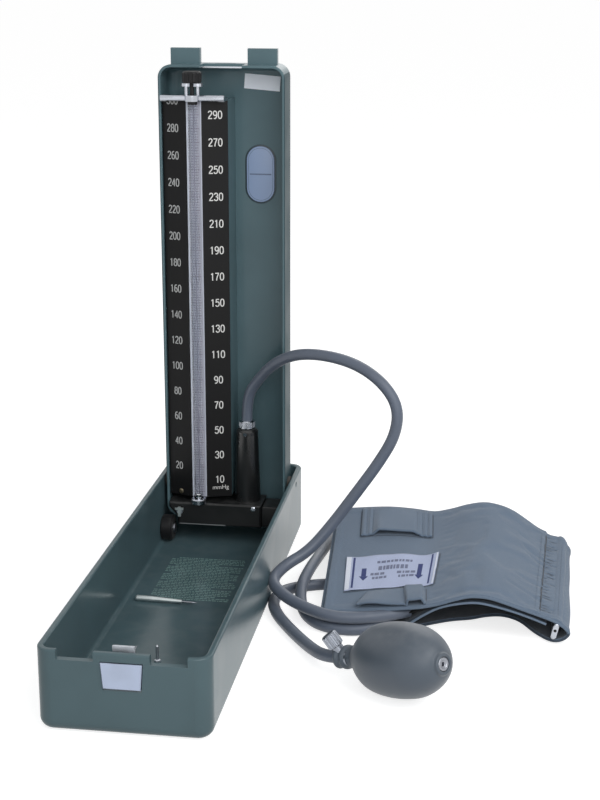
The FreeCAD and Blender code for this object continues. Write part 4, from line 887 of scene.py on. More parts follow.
def make_gauge_hose(diameter):
    """The hose from the reservoir to the cuff."""
    curve = hose_curve("hose_line", GAUGE_ROUTE, 0)
    path = [tuple(v.co) for v in meshed("hose_line", curve).vertices]
    curve.bevel_depth = diameter / 2
    mesh = meshed("hose_line", curve)
    mesh.shade_smooth()
    tube = new_object("hose_gauge_tube", mesh)
    coat(mesh, "hose rubber")
    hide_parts("hose_gauge")
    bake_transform(tube)


def make_bulb_hose(diameter):
    """The hose from the bulb's valve to the cuff."""
    name = "hose_bulb_tube"
    hose = new_object(name, hose_curve(name, BULB_ROUTE, diameter))
    dress(hose, "base", "hose rubber", "hose_rubber", "hose_bulb")


# ---- Scale ----
def print_text(name, body, size, place):
    """A word as a flat mesh on a plane, its middle at the plane's origin."""
    font = bpy.data.curves.new(name, "FONT")
    font.body = body
    font.size = size
    font.align_x = "CENTER"
    font.align_y = "CENTER"
    mesh = meshed(name, font)
    mesh.transform(place)
    return new_object(name, mesh)


# Strokes of the digits in a box 1 high: True marks a stroke that bends smoothly. A digit's width,
# the step to the next digit and the width of a stroke are shares of that height too.
DIGIT_WIDTH = 0.56
DIGIT_STEP = 0.66
STROKE_WIDTH = 0.13
ROUND_TOP = [(0.05, 0.78), (0.13, 0.93), (0.28, 0.97), (0.44, 0.90), (0.49, 0.74)]
SIX = [(0.45, 0.94), (0.28, 0.96), (0.13, 0.82), (0.06, 0.5), (0.09, 0.18), (0.28, 0.03),
       (0.46, 0.12), (0.51, 0.32), (0.44, 0.51), (0.28, 0.59), (0.13, 0.5), (0.07, 0.36)]
STROKES = {
    "1": [(False, [(0.12, 0.78), (0.31, 0.95)]), (False, [(0.31, 0.99), (0.31, 0.0)])],
    "2": [(True, ROUND_TOP + [(0.42, 0.56), (0.2, 0.3), (0.05, 0.08)]),
          (False, [(0.0, 0.05), (0.54, 0.05)])],
    "3": [(True, ROUND_TOP + [(0.4, 0.58), (0.22, 0.53)]),
          (True, [(0.22, 0.53), (0.42, 0.47), (0.51, 0.28), (0.44, 0.09), (0.27, 0.03),
                  (0.12, 0.08), (0.03, 0.22)])],
    "4": [(False, [(0.4, 0.0), (0.4, 0.99)]), (False, [(0.4, 0.95), (0.03, 0.3)]),
          (False, [(0.0, 0.27), (0.54, 0.27)])],
    "5": [(False, [(0.5, 0.95), (0.1, 0.95)]), (False, [(0.13, 0.97), (0.08, 0.52)]),
          (True, [(0.08, 0.54), (0.2, 0.62), (0.34, 0.62), (0.47, 0.52), (0.51, 0.33), (0.44, 0.12),
                  (0.27, 0.03), (0.12, 0.07), (0.03, 0.2)])],
    "6": [(True, SIX)],
    "7": [(False, [(0.02, 0.95), (0.54, 0.95)]),
          (True, [(0.5, 0.93), (0.34, 0.6), (0.24, 0.3), (0.2, 0.0)])],
    "9": [(True, [(DIGIT_WIDTH - x, 1 - y) for x, y in SIX])],
}


def loop(centre, width, height):
    """A closed stroke: an upright oval that is a little squarer than an ellipse."""
    steps, squareness = 28, 0.85
    points = []
    for step in range(steps + 1):
        angle = 2 * math.pi * step / steps
        x, y = math.cos(angle), math.sin(angle)
        points.append((
            centre[0] + width * math.copysign(abs(x) ** squareness, x),
            centre[1] + height * math.copysign(abs(y) ** squareness, y),
        ))
    return points


STROKES["0"] = [(False, loop((0.28, 0.5), 0.235, 0.465))]
STROKES["8"] = [
    (False, loop((0.28, 0.745), 0.195, 0.215)), (False, loop((0.28, 0.285), 0.235, 0.25)),
]


def add_stroke(bm, place, points, width):
    """A ribbon of even width along a line on a plane, in millimetres."""
    rails = []
    for index, point in enumerate(points):
        before, after = points[max(index - 1, 0)], points[min(index + 1, len(points) - 1)]
        if index in (0, len(points) - 1) and (points[0] - points[-1]).length < 1e-6:
            before, after = points[-2], points[1]
        side = (after - before).normalized().orthogonal() * width / 2
        rails.append([bm.verts.new(place @ spot(*(point + way), 0)) for way in (side, -side)])
    join_rails(bm, rails)


def add_number(bm, text, place, height, stretch):
    """A number of drawn digits, its middle at the plane's origin."""
    shift = Vector((-(DIGIT_STEP * (len(text) - 1) + DIGIT_WIDTH) / 2, -0.5))
    for digit in text:
        for bends, points in STROKES[digit]:
            line = [Vector(point) for point in points]
            if bends:
                line = [Vector(point[:2]) for point in through([(x, y, 0) for x, y in points], 4)]
            line = [point + shift for point in line]
            line = [Vector((point.x * stretch, point.y)) * height for point in line]
            add_stroke(bm, place, line, STROKE_WIDTH * height)
        shift.x += DIGIT_STEP


# The scale's last value, in millimetres of mercury.
SCALE_TOP = 300
# In millimetres: the ridge's edge beyond the strip, how far a wing falls away to its side, how far
# the numbers stand off it, and where they are cut off below the plate's top.
RIDGE_MARGIN = 0.3
WING_FALL = 5.5
NUMBER_LIFT = 0.06
NUMBER_MARGIN = 0.2
# Side, piece, finish, place as a share of the wing, stretch and first value.
WING_NUMBERS = (
    (1, "scale_numbers_right", "number print", 0.52, 0.94, 10),
    # The left wing's numbers take a darker copy of the print as painted shade.
    (-1, "scale_numbers_left", "number print left", 0.57, 0.84, 20),
)
# The unit's place as a share of the wing, the value it stands at, and its size beside a number.
UNIT = (0.55, 3.4, 0.82)
# The strip's ticks, in millimetres from its middle: both spans, then half a tick's thickness and
# what it adds to its reach, each for a plain value and for a ten.
TICK_SPANS = ((-3.1, -0.5), (0.6, 3.2))
TICK_HALF = (0.2, 0.28)
TICK_EXTRA = (0.0, 0.5)
# The strip's borders from its left and right edges, its line from its middle, and what stays clear
# at its ends.
LEFT_BORDER = (0.15, 1.35)
RIGHT_BORDER = (0.8, 0.15)
CENTRE_LINE = (-0.2, 0.3)
STRIP_MARGIN = 0.3


def make_numbers(settings):
    """The scale's numbers: odd tens on the right wing, even tens on the left in a darker copy,
    painted shade.
    """
    low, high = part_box("scale_plate")
    strip_low, strip_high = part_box("graduated_strip")
    centre = (low.x + high.x) / 2
    ridge = (strip_high.x - strip_low.x) / 2 + RIDGE_MARGIN * MM
    wing = (high.x - low.x) / 2 - ridge
    slope = WING_FALL * MM / wing

    def on_wing(side, share, height):
        """A place on a wing's face, from the ridge outwards."""
        out = Vector((side * slope, -1, 0)).normalized()
        at = Vector((centre + side * (ridge + wing * share), low.y + wing * share * slope, height))
        return facing(at + out * NUMBER_LIFT * MM, out)

    for side, name, finish, share, stretch, first in WING_NUMBERS:
        bm = bmesh.new()
        for value in range(first, SCALE_TOP + 10, 20):
            height = settings.zero + value * settings.division
            add_number(bm, str(value), on_wing(side, share, height), settings.digit / MM, stretch)
        cut = bm.verts[:] + bm.edges[:] + bm.faces[:]
        end = (0, 0, high.z - NUMBER_MARGIN * MM)
        bmesh.ops.bisect_plane(bm, geom=cut, plane_co=end, plane_no=(0, 0, 1), clear_outer=True)
        dress(from_bmesh(name, bm), "lid", finish, "scale_black")
    share, value, size = UNIT
    place = on_wing(1, share, settings.zero + value * settings.division)
    unit = print_text("scale_unit", "mmHg", settings.digit * size, place)
    dress(unit, "lid", "number print", "scale_black")


def make_ticks(settings):
    """The strip's graduations, one for every 2 millimetres of mercury, its borders and its line."""
    low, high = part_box("graduated_strip")
    centre = (low.x + high.x) / 2 / MM
    half_strip = (high.x - low.x) / 2 / MM
    plane = facing((0, low.y - 0.05 * MM, 0), (0, -1, 0))
    bm = bmesh.new()
    for value in range(0, SCALE_TOP + 2, 2):
        height = (settings.zero + value * settings.division) / MM
        ten = value % 10 == 0
        half, reach = TICK_HALF[ten], TICK_EXTRA[ten]
        (outer_left, inner_left), (inner_right, outer_right) = TICK_SPANS
        for left, right in ((outer_left - reach, inner_left), (inner_right, outer_right + reach)):
            add_quad(bm, plane, centre + left, centre + right, height - half, height + half)
    dress(from_bmesh("scale_ticks", bm), "lid", "tick print", "scale_strip")
    bottom, top = low.z / MM + STRIP_MARGIN, high.z / MM - STRIP_MARGIN
    left, right = centre - half_strip, centre + half_strip
    bm = bmesh.new()
    add_quad(bm, plane, left + LEFT_BORDER[0], left + LEFT_BORDER[1], bottom, top)
    add_quad(bm, plane, right - RIGHT_BORDER[0], right - RIGHT_BORDER[1], bottom, top)
    dress(from_bmesh("strip_borders", bm), "lid", "strip edge", "scale_strip")
    bm = bmesh.new()
    add_quad(bm, plane, centre + CENTRE_LINE[0], centre + CENTRE_LINE[1], bottom, top)
    dress(from_bmesh("strip_centre_line", bm), "lid", "tube line", "scale_strip")


# ---- Tray and lid details ----
# The print on the floor, in millimetres: left, right, front and back, the rows' pitch and height,
# how far it stands off the floor, and the number of rows in a paragraph.
PRINT_FIELD = (-32, 24, 13, 94)
ROW_PITCH = 2.9
DASH_HEIGHT = 1.25
PRINT_LIFT = 0.08
PARAGRAPH = 5
# The black block's width, height and depth, its gap to the manifold block's side, and how far it
# lies behind that block's front and above its foot; the black block is painted shade. Then the
# painted highlight's left and right, and its foot and top above the block's foot.
SHADE_BLOCK_SIZE = (12.5, 15.5, 21)
SHADE_BLOCK_OFFSET = (0.3, 1.5, 1)
PAINTED_HIGHLIGHT_EDGE = (-34, 1, 0.5, 1.2)
# The lines on the block and on the plate stand this far off them.
LINE_LIFT = 0.03


def make_floor_print():
    """Rows of plain dashes printed on the tray's floor."""
    draw = random.Random(7)
    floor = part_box("tray_post")[0].z + PRINT_LIFT * MM
    bm = bmesh.new()
    plane = facing((0, 0, floor), (0, 0, 1), (0, 1, 0))
    left, right, front, back = PRINT_FIELD
    rows = int((back - front) / ROW_PITCH)
    for row in range(rows):
        low = back - (row + 1) * ROW_PITCH
        x = left + (0 if row % PARAGRAPH else 5)
        last = right - (draw.uniform(0, 20) if row % PARAGRAPH == PARAGRAPH - 1 else 0)
        while x < last - 2:
            width = min(draw.uniform(0.7, 3.2), last - x)
            add_quad(bm, plane, x, x + width, low, low + DASH_HEIGHT)
            x += width + draw.uniform(0.45, 0.9)
    dress(from_bmesh("floor_print", bm), "base", "panel print", "case_paint")


def make_manifold_trim():
    """A black block beside the manifold as painted shade, and a painted highlight along the block's
    lower edge.
    """
    low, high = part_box("manifold_block")
    width, height, depth = SHADE_BLOCK_SIZE
    beside, behind, above = SHADE_BLOCK_OFFSET
    end = high / MM
    place = facing(spot(end.x + beside + width / 2, low.y / MM + behind,
                        low.z / MM + above + height / 2), (0, -1, 0))
    # A black block that fills the lid beside the manifold: painted shade.
    block = plate("manifold_shade_block", rectangle(width, height, 1.5), depth,
                  place @ Matrix.Translation(spot(0, 0, -depth)), 0.5)
    dress(block, "lid", "black moulding", "black_moulding")
    # A pale strip along the manifold's lower front edge: painted highlight.
    bm = bmesh.new()
    plane = facing((0, low.y - LINE_LIFT * MM, 0), (0, -1, 0))
    left, right, foot, top = PAINTED_HIGHLIGHT_EDGE
    add_quad(bm, plane, left, right, low.z / MM + foot, low.z / MM + top)
    dress(from_bmesh("manifold_painted_highlight", bm), "lid", "worn black", "black_moulding")


def make_badge():
    """The oval plate on the lid: a line round it, a bar across, two blank fields, and a dark ring
    of painted shade.
    """
    low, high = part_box("badge_plate")
    centre = (low + high) / 2
    width = (high.x - low.x) / MM
    height = (high.z - low.z) / MM
    place = facing((centre.x, high.y, centre.z), (0, -1, 0))
    face = plate("badge", oval(width, height), (high.y - low.y) / MM, place, 0.35)
    dress(face, "lid", "badge face", "pale_plate", "badge_plate")
    bm = bmesh.new()
    front = facing((centre.x, low.y - LINE_LIFT * MM, centre.z), (0, -1, 0))
    outer, inner = (oval(width - inset, height - inset) for inset in (2.4, 3.0))
    for step in range(len(outer)):
        following = (step + 1) % len(outer)
        corners = (outer[step], outer[following], inner[following], inner[step])
        bm.faces.new([bm.verts.new(front @ spot(x, y, 0)) for x, y in corners])
    add_quad(bm, front, -width / 2 + 2.2, width / 2 - 2.2, -0.5, 0.5)
    dress(from_bmesh("badge_lines", bm), "lid", "badge line", "pale_plate")
    # A dark ring round the plate: painted shade of the recess that it sits in.
    recess_shade = plate("badge_seat", oval(width + 2.6, height + 2.6), 0.3, place, 0.12)
    dress(recess_shade, "lid", "badge seat", "case_paint")


# ---- Cuff ----
# Points of the cloth's middle in millimetres, front and rear: from the free end on the left over
# the top, round the fold on the right and back underneath.
WRAP_FRONT = [
    (94, -12, 12.9), (106, -12, 13.2), (120, -12, 15.0), (134, -12, 16.6), (148, -12, 18.4),
    (159, -12, 20.0), (170, -12, 22.9), (181, -12, 26.9), (191, -12, 29.5), (202, -12, 29.3),
    (213, -12, 26.4), (224, -12, 22.8), (234, -12, 19.6), (244, -12, 16.2), (250, -12, 13.0),
    (253.2, -12, 10.4), (254.8, -12, 7.0), (250.5, -12, 3.0), (243.5, -10.5, 1.7), (233.5, 1, 1.5),
    (223, 17, 2.0), (212, 22, 2.9), (201, 21, 2.6), (190, 17, 1.6), (176, 12, 1.5), (160, 2, 1.5),
    (147, -7, 1.4), (138, -11, 1.4),
]
WRAP_REAR = [
    (85.5, 138, 30.2), (98, 138, 31.6), (112, 138, 33.0), (126, 138, 33.8), (142, 138, 33.2),
    (157, 138, 32.0), (170, 138, 35.0), (182, 138, 38.9), (194, 138, 41.0), (205, 138, 39.4),
    (215, 138, 35.4), (224, 138, 29.4), (233, 138, 22.9), (242, 137.6, 18.4), (250.5, 137.2, 16.6),
    (252.6, 132.4, 15.2), (256.6, 131, 9.8), (252, 131, 3.4), (243, 135, 1.8), (232, 138, 1.5),
    (222, 138, 1.6), (211, 138, 2.2), (200, 138, 2.2), (189, 138, 1.8), (176, 138, 1.5),
    (163, 138, 1.5), (151, 138, 1.5), (141, 138, 1.5),
]
LINING_FRONT = [
    (146, -11.5, 4.4), (152, -11.5, 8.4), (160, -11.5, 14.2), (170, -11.5, 20.0),
    (182, -11.5, 23.6), (196, -11.5, 25.2), (213, -11.5, 22.0), (228, -11.5, 17.6),
    (240, -11.5, 13.2),
]
LINING_REAR = [
    (146, 134, 22.4), (152, 134, 22.6), (160, 136, 23.4), (170, 137, 24.6), (182, 137, 27.8),
    (196, 137, 31.2), (213, 137, 29.0), (228, 137, 21.6), (240, 137, 14.4),
]
BLADDER_FRONT = [
    (150, -9, 13.4), (158, -9.5, 16.8), (170, -9.5, 21.6), (182, -9.5, 25.4), (196, -9.5, 27.1),
    (213, -9.5, 24.2), (228, -9.5, 19.6), (238, -9.5, 16.0),
]
BLADDER_REAR = [
    (150, 133, 27.0), (158, 134, 27.2), (170, 134, 29.6), (182, 134, 33.2), (196, 134, 35.8),
    (213, 134, 32.6), (228, 134, 24.4), (238, 134, 17.4),
]
# Soft pieces stay this far above the table. Cloth beside a hem has this share of its thickness.
TABLE_CLEARANCE = 0.15
HEM_SHARE = 0.62
# The gathered seam across the top, from front to rear.
SEAM_FRONT = (234.6, -12)
SEAM_REAR = (239.0, 138)


def grid(name, columns, rows, at):
    """A sheet of quads; at gives a point in millimetres from a column's and a row's share."""
    bm = bmesh.new()
    net = [
        [bm.verts.new(Vector(at(i / columns, j / rows)) * MM) for j in range(rows + 1)]
        for i in range(columns + 1)
    ]
    for i in range(columns):
        for j in range(rows):
            bm.faces.new((net[i][j], net[i + 1][j], net[i + 1][j + 1], net[i][j + 1]))
    mesh = bpy.data.meshes.new(name)
    bm.to_mesh(mesh)
    bm.free()
    mesh.shade_smooth()
    return new_object(name, mesh)


def cloth_between(name, front, rear, steps, rows):
    """A sheet between a front and a rear line."""
    near, far = through(front, steps), through(rear, steps)
    columns = len(near) - 1

    def at(s, t):
        column = round(s * columns)
        return near[column].lerp(far[column], t)
    return grid(name, columns, rows, at)


def baked(obj):
    """Applies an object's modifiers."""
    graph = bpy.context.evaluated_depsgraph_get()
    mesh = bpy.data.meshes.new_from_object(obj.evaluated_get(graph))
    obj.modifiers.clear()
    old, obj.data = obj.data, mesh
    bpy.data.meshes.remove(old)
    return obj


def rest_on_table(obj):
    """Lifts what would sink into the table, as the table itself would."""
    for vertex in obj.data.vertices:
        vertex.co.z = max(vertex.co.z, TABLE_CLEARANCE * MM)


def thicken(obj, thickness, hem=None, round_off=0):
    """Gives a sheet its thickness in millimetres; hem is a vertex group that is thicker."""
    solid = obj.modifiers.new("thickness", "SOLIDIFY")
    solid.thickness = thickness * MM
    solid.offset = 0
    if hem:
        solid.vertex_group = hem
        solid.thickness_vertex_group = HEM_SHARE
    if round_off:
        subdivision = obj.modifiers.new("softness", "SUBSURF")
        subdivision.levels = subdivision.render_levels = round_off
    baked(obj)
    rest_on_table(obj)
    obj.data.shade_smooth()
    return obj


def noisy(x, y, z, scale):
    """Smooth noise from -1 to 1 at a place in millimetres."""
    return noise.noise(Vector((x, y, z)) / scale)


def window(value, low, high, soft):
    """1 between two values, falling smoothly to 0 outside them."""
    def rise(t):
        t = min(1.0, max(0.0, t))
        return t * t * (3 - 2 * t)
    return rise((value - low) / soft + 1) * rise((high - value) / soft + 1)


def seam_at(y):
    """How far across the seam runs at a depth."""
    share = (y - SEAM_FRONT[1]) / (SEAM_REAR[1] - SEAM_FRONT[1])
    return SEAM_FRONT[0] + (SEAM_REAR[0] - SEAM_FRONT[0]) * share


def make_gathers():
    """Places, reaches, depths and widths of the gathers along the seam."""
    draw = random.Random(5)
    gathers, y = [], -9.0
    while y < 136:
        reach = draw.uniform(2.0, 8.5)
        depth = draw.uniform(0.35, 1.25)
        width = draw.uniform(0.7, 1.5)
        gathers.append((y, reach, depth, width))
        y += draw.uniform(2.6, 6.8)
    return gathers


GATHERS = make_gathers()
# How far a gather drifts to the rear for each millimetre that it runs to the right.
GATHER_LEAN = 0.08
# Folds that run into the seam from the left: place, lean, reach and depth; and their half width.
SOFT_FOLDS = (
    (70, -0.95, 9, 0.9), (80, -0.8, 12, 1.0), (97, -0.6, 17, 0.6), (8, -0.5, 20, 0.9),
    (30, -0.4, 12, 0.5),
)
FOLD_HALF = 2.6
# The broad hollow beside the label: its middle, its half widths and its depth.
HOLLOW_AT = (168, 92)
HOLLOW_HALF = (16, 26)
HOLLOW_DEPTH = 1.6
# Below this height the cloth lies on the table and keeps its shape.
ON_TABLE = 5
# What the dark ribbons of painted shadow and the stitches stand off the cloth.
SHADOW_RIBBON_LIFT = 0.95
STITCH_LIFT = 0.85
# Ends of the painted shadows along the edges of the label, the strap, the flap and the loop, seen
# from above.
EDGE_SHADOWS = (
    ((106.9, 90.8), (103.5, 132.6)), ((158.7, 94.0), (156.1, 132.6)),
    ((107.2, 90.5), (158.3, 93.6)),
    ((104.0, 12.5), (164.9, 17.5)), ((165.2, 18.4), (166.2, 64.4)),
    ((115.6, -11.0), (120.7, 9.8)), ((121.2, 10.2), (144.0, 13.9)),
    ((148.3, -11.0), (144.3, 11.8)), ((161.9, -11.0), (160.0, 12.4)),
)


def wrap_relief(x, y, z):
    """How far the top cloth stands off its smooth shape, in millimetres."""
    if z < ON_TABLE:
        return 0.0
    beyond = x - seam_at(y)
    edge = window(y, -8, 134, 4)
    relief = 0.9 * noisy(x, y, 3, 38) * edge
    # short gathers to the right of the seam, each of its own length and depth
    for at_y, reach, depth, width in GATHERS:
        off = (y - at_y - GATHER_LEAN * beyond) / width
        if abs(off) < 2.5:
            relief -= depth * math.exp(-off * off) * window(beyond, 0.6, 0.6 + reach, 3.0)
    # soft folds that run into the seam from the left
    for at_y, lean, reach, depth in SOFT_FOLDS:
        off = y - at_y - lean * beyond
        relief -= depth * math.exp(-(off / FOLD_HALF) ** 2) * window(beyond, -reach, -1.5, 6)
    # the left cloth puffs up and laps over the seam, and the band's edge stands off the fold
    if beyond < 0.5:
        relief += 1.2 * math.exp(beyond / 7) * window(beyond, -40, -0.5, 0.9)
    relief += 0.9 * window(beyond, 11.0, 14.0, 1.6)
    # a broad hollow beside the label
    across = (x - HOLLOW_AT[0]) / HOLLOW_HALF[0]
    along = (y - HOLLOW_AT[1]) / HOLLOW_HALF[1]
    return relief - HOLLOW_DEPTH * math.exp(-across ** 2 - along ** 2)


def shift_by(obj, relief):
    """Moves a sheet's points along their normals by a relief in millimetres."""
    normals = [vertex.normal.copy() for vertex in obj.data.vertices]
    top = max(range(len(normals)), key=lambda index: obj.data.vertices[index].co.z)
    sign = 1 if normals[top].z > 0 else -1
    for vertex, normal in zip(obj.data.vertices, normals):
        x, y, z = vertex.co / MM
        vertex.co += normal * sign * relief(x, y, z) * MM


# How many steps the cloth gets to settle.
SETTLING_FRAMES = 18


def wrinkle(obj, held, slack, travel):
    """Lets cloth that is a little too large for its pad settle, and keeps the result."""
    pins = obj.vertex_groups.new(name="held")
    for vertex in obj.data.vertices:
        weight = held(*(vertex.co / MM))
        if weight > 0:
            pins.add([vertex.index], weight, "REPLACE")
    cloth = obj.modifiers.new("settling", "CLOTH")
    cloth.settings.quality = 6
    cloth.settings.mass = 0.15
    cloth.settings.tension_stiffness = 12
    cloth.settings.compression_stiffness = 12
    cloth.settings.shear_stiffness = 6
    cloth.settings.bending_stiffness = 0.35
    cloth.settings.vertex_group_mass = "held"
    cloth.settings.shrink_min = -slack
    cloth.settings.effector_weights.gravity = 0
    cloth.collision_settings.use_collision = False
    scene = bpy.context.scene
    for step in range(1, SETTLING_FRAMES + 1):
        scene.frame_set(step)
    graph = bpy.context.evaluated_depsgraph_get()
    settled = [vertex.co.copy() for vertex in obj.evaluated_get(graph).data.vertices]
    obj.modifiers.remove(cloth)
    scene.frame_set(1)
    for vertex, place in zip(obj.data.vertices, settled):
        move = place - vertex.co
        if move.length > travel:
            move *= travel / move.length
        vertex.co += move
    obj.vertex_groups.remove(pins)


class Ground:
    """Finds the cuff's top from above."""

    def __init__(self, obj):
        self.tree = BVHTree.FromPolygons(
            [vertex.co.copy() for vertex in obj.data.vertices],
            [tuple(face.vertices) for face in obj.data.polygons],
        )

    def at(self, x, y, lift=0.0):
        """The place on the cloth under a point, raised by a lift; all in millimetres."""
        place, normal, _, _ = self.tree.ray_cast(spot(x, y, 90), Vector((0, 0, -1)))
        if place is None:
            raise RuntimeError(f"no cloth under {x:.1f}, {y:.1f}")
        if normal.z < 0:
            normal = -normal
        return place / MM + normal * lift


def patch_at(ground, corners, lift):
    """A function for points of a patch on the cloth, from its four corners and its lift."""
    near_left, near_right, far_right, far_left = (Vector(corner) for corner in corners)

    def at(s, t, extra=0.0):
        x, y = near_left.lerp(near_right, s).lerp(far_left.lerp(far_right, s), t)
        return ground.at(x, y, lift(s, t) + extra)
    return at


# A stitch's length and width in millimetres.
STITCH = (1.5, 0.42)


def add_stitches(bm, line, pitch=2.6):
    """Sewing stitches along a line of points in millimetres."""
    spans = [(b - a).length for a, b in zip(line, line[1:])]
    total = sum(spans)

    def along(distance):
        for a, b, span in zip(line, line[1:], spans):
            if distance <= span:
                return a.lerp(b, distance / max(span, 1e-6))
            distance -= span
        return line[-1]

    length, width = STITCH
    for number in range(int(total / pitch)):
        start = along(number * pitch)
        end = along(number * pitch + length)
        run = (end - start).normalized()
        side = run.cross(Vector((0, 0, 1))).normalized() * width / 2
        up = side.cross(run).normalized() * width * 0.55
        if up.z < 0:
            up = -up
        centre = (start + end) / 2
        points = [start - run * 0.15, start.lerp(end, 0.3) + side, end.lerp(start, 0.3) + side,
                  end + run * 0.15, end.lerp(start, 0.3) - side, start.lerp(end, 0.3) - side]
        rim = [bm.verts.new(point * MM) for point in points]
        top = [bm.verts.new((centre + up + (point - centre) * 0.35) * MM) for point in points]
        join_rings(bm, [rim, top])
        bm.faces.new(top)


def make_wrap(settings):
    """The cuff's main cloth, in one piece round the fold."""
    rows = 50
    wrap = cloth_between("cuff_cloth", WRAP_FRONT, WRAP_REAR, 6, rows)

    def held(x, y, z):
        ends = max(1 - window(y, -7, 133, 5), 1 - window(x, 170, 232, 12), 1.0 if z < 6 else 0.0)
        return max(0.0, min(1.0, ends))
    wrinkle(wrap, held, settings.slack, settings.travel)
    hem = wrap.vertex_groups.new(name="hem")
    for index in range(len(wrap.data.vertices)):
        row = index % (rows + 1)
        column = index // (rows + 1)
        if row < 3 or row > rows - 3 or column < 3:
            hem.add([index], 1.0, "REPLACE")
    finer = wrap.modifiers.new("finer", "SUBSURF")
    finer.levels = finer.render_levels = 1
    baked(wrap)
    shift_by(wrap, wrap_relief)
    ground = Ground(wrap)
    # A dark copy of the cloth's surface just under its underside: painted shade for the cuff's
    # hollow.
    inner_shade = new_object("cuff_inner_shade", wrap.data.copy())
    shift_by(inner_shade, lambda x, y, z: -1.25)
    inner_shade.data.shade_smooth()
    dress(inner_shade, "base", "lining cloth", "cuff_cloth")
    thicken(wrap, 2.2, hem="hem")
    dress(wrap, "base", "cuff cloth", "cuff_cloth", "cuff_wrap")
    return wrap, inner_shade, ground


def make_cuff_stitches(ground):
    """Stitches along the hems and the seam, the seam's shadow and the gathers' shadows."""
    lines = (
        [(x, 133.4) for x in range(90, 236, 3)],
        [(x, -7.6) for x in range(98, 232, 3)],
        [(96.0 - 7.6 * (y + 7) / 140, y) for y in range(-7, 134, 5)],
        [(seam_at(y) - 2.6, y) for y in range(-8, 136, 4)],
        [(seam_at(y) + 12.4, y) for y in range(-8, 132, 4)],
    )
    bm = bmesh.new()
    for line in lines:
        add_stitches(bm, [ground.at(x, y, STITCH_LIFT) for x, y in line])
    stitches = from_bmesh("cuff_stitches", bm)
    dress(stitches, "base", "sewing thread", "cuff_cloth")
    # A dark ribbon along the seam: painted shadow.
    bm = bmesh.new()
    seam = [Vector((seam_at(y) + 0.5, y)) for y in range(-11, 138, 3)]
    add_crease(bm, ground, seam, 1.25, taper=False)
    seam_shadow = from_bmesh("cuff_seam_shadow", bm)
    dress(seam_shadow, "base", "crease cloth", "cuff_cloth")
    # Dark ribbons in the gathers: painted shadow.
    bm = bmesh.new()
    for y, reach, depth, _ in GATHERS:
        start = Vector((seam_at(y) + 1.2, y))
        line = [start + Vector((reach, GATHER_LEAN * reach)) * step / 6 for step in range(7)]
        add_crease(bm, ground, line, 0.6 + 0.8 * depth)
    gather_shadows = from_bmesh("cuff_gather_shadows", bm)
    dress(gather_shadows, "base", "gather cloth", "cuff_cloth")
    return [stitches, seam_shadow, gather_shadows]


def add_crease(bm, ground, line, width, taper=True):
    """A thin dark ribbon of painted shadow on the cloth along a line seen from above; taper narrows
    its ends.
    """
    rails = []
    for index, point in enumerate(line):
        along = line[min(index + 1, len(line) - 1)] - line[max(index - 1, 0)]
        share = math.sin(math.pi * (index + 0.6) / (len(line) + 0.2)) if taper else 1
        side = along.normalized().orthogonal() * width / 2 * share
        rails.append([
            bm.verts.new(ground.at(*(point + way), SHADOW_RIBBON_LIFT) * MM) for way in (side, -side)
        ])
    join_rails(bm, rails)


def make_sewn_edges(ground):
    """Painted shadows along the edges where the label, the strap, the flap and the loop lie on the
    cloth.
    """
    bm = bmesh.new()
    for start, end in EDGE_SHADOWS:
        start, end = Vector(start), Vector(end)
        add_crease(bm, ground, [start.lerp(end, step / 24) for step in range(25)], 1.1, taper=False)
    edges = from_bmesh("cuff_edge_shadows", bm)
    return dress(edges, "base", "gather cloth", "cuff_cloth")


def roll(name, line, radius, finish):
    """A thin rolled hem along a line of points in millimetres."""
    curve, _ = tube_curve(name, "POLY", line, radius * MM, 2)
    mesh = meshed(name, curve)
    mesh.shade_smooth()
    hem = new_object(name, mesh)
    rest_on_table(hem)
    return dress(hem, "base", finish, "cuff_cloth")


def make_hems():
    """The rolled front hems of cloth and lining, and the cloth turned in on the left."""
    out = Vector((0, -0.5, 0))
    edge = [point + out for point in through(WRAP_FRONT[1:], 4)]
    turn = max(range(len(edge)), key=lambda index: edge[index].x) + 1
    outer = roll("cuff_front_hem", edge[:turn], 0.95, "cuff cloth")
    under = roll("cuff_under_hem", edge[turn - 1:], 0.9, "shaded cloth")
    lining = [point + out for point in through(LINING_FRONT, 4)]
    # The lining's hem takes a lighter copy of the cuff's cloth: painted highlight.
    inner = roll("lining_hem", lining, 0.8, "hem cloth")
    front = [(91.3, -11, 9.6), (95, -11, 10.0), (100, -11, 10.4)]
    rear = [(83.3, 137, 26.8), (87, 137, 27.4), (92, 137, 28.0)]
    turned = cloth_between("cuff_turned_edge", front, rear, 4, 40)
    thicken(turned, 1.6)
    dress(turned, "base", "cuff cloth", "cuff_cloth")
    return [outer, under, inner, turned]


# The label's corners seen from above, and how far its printed marks stand off it.
LABEL = ((104.4, 13.2), (164.6, 18.2), (165.6, 64.6), (100.8, 60.6))
INK_LIFT = 0.26
# The label's marks as shares of its width and depth. Lines and folds: left, low, right and high.
# Arrows: middle, tip and tail. Rows of dashes: low, high, left and right.
LABEL_LINES = ((0.075, 0.05, 0.098, 0.97), (0.925, 0.05, 0.945, 0.97))
LABEL_FOLDS = ((0.004, 0.02, 0.055, 0.985), (0.978, 0.02, 0.996, 0.985))
LABEL_ARROWS = ((0.205, 0.24, 0.60), (0.815, 0.20, 0.68))
LABEL_ROWS = (
    (0.74, 0.81, 0.34, 0.72), (0.53, 0.65, 0.36, 0.68), (0.39, 0.46, 0.28, 0.46),
    (0.28, 0.345, 0.30, 0.46), (0.39, 0.46, 0.57, 0.79), (0.28, 0.345, 0.59, 0.78),
)


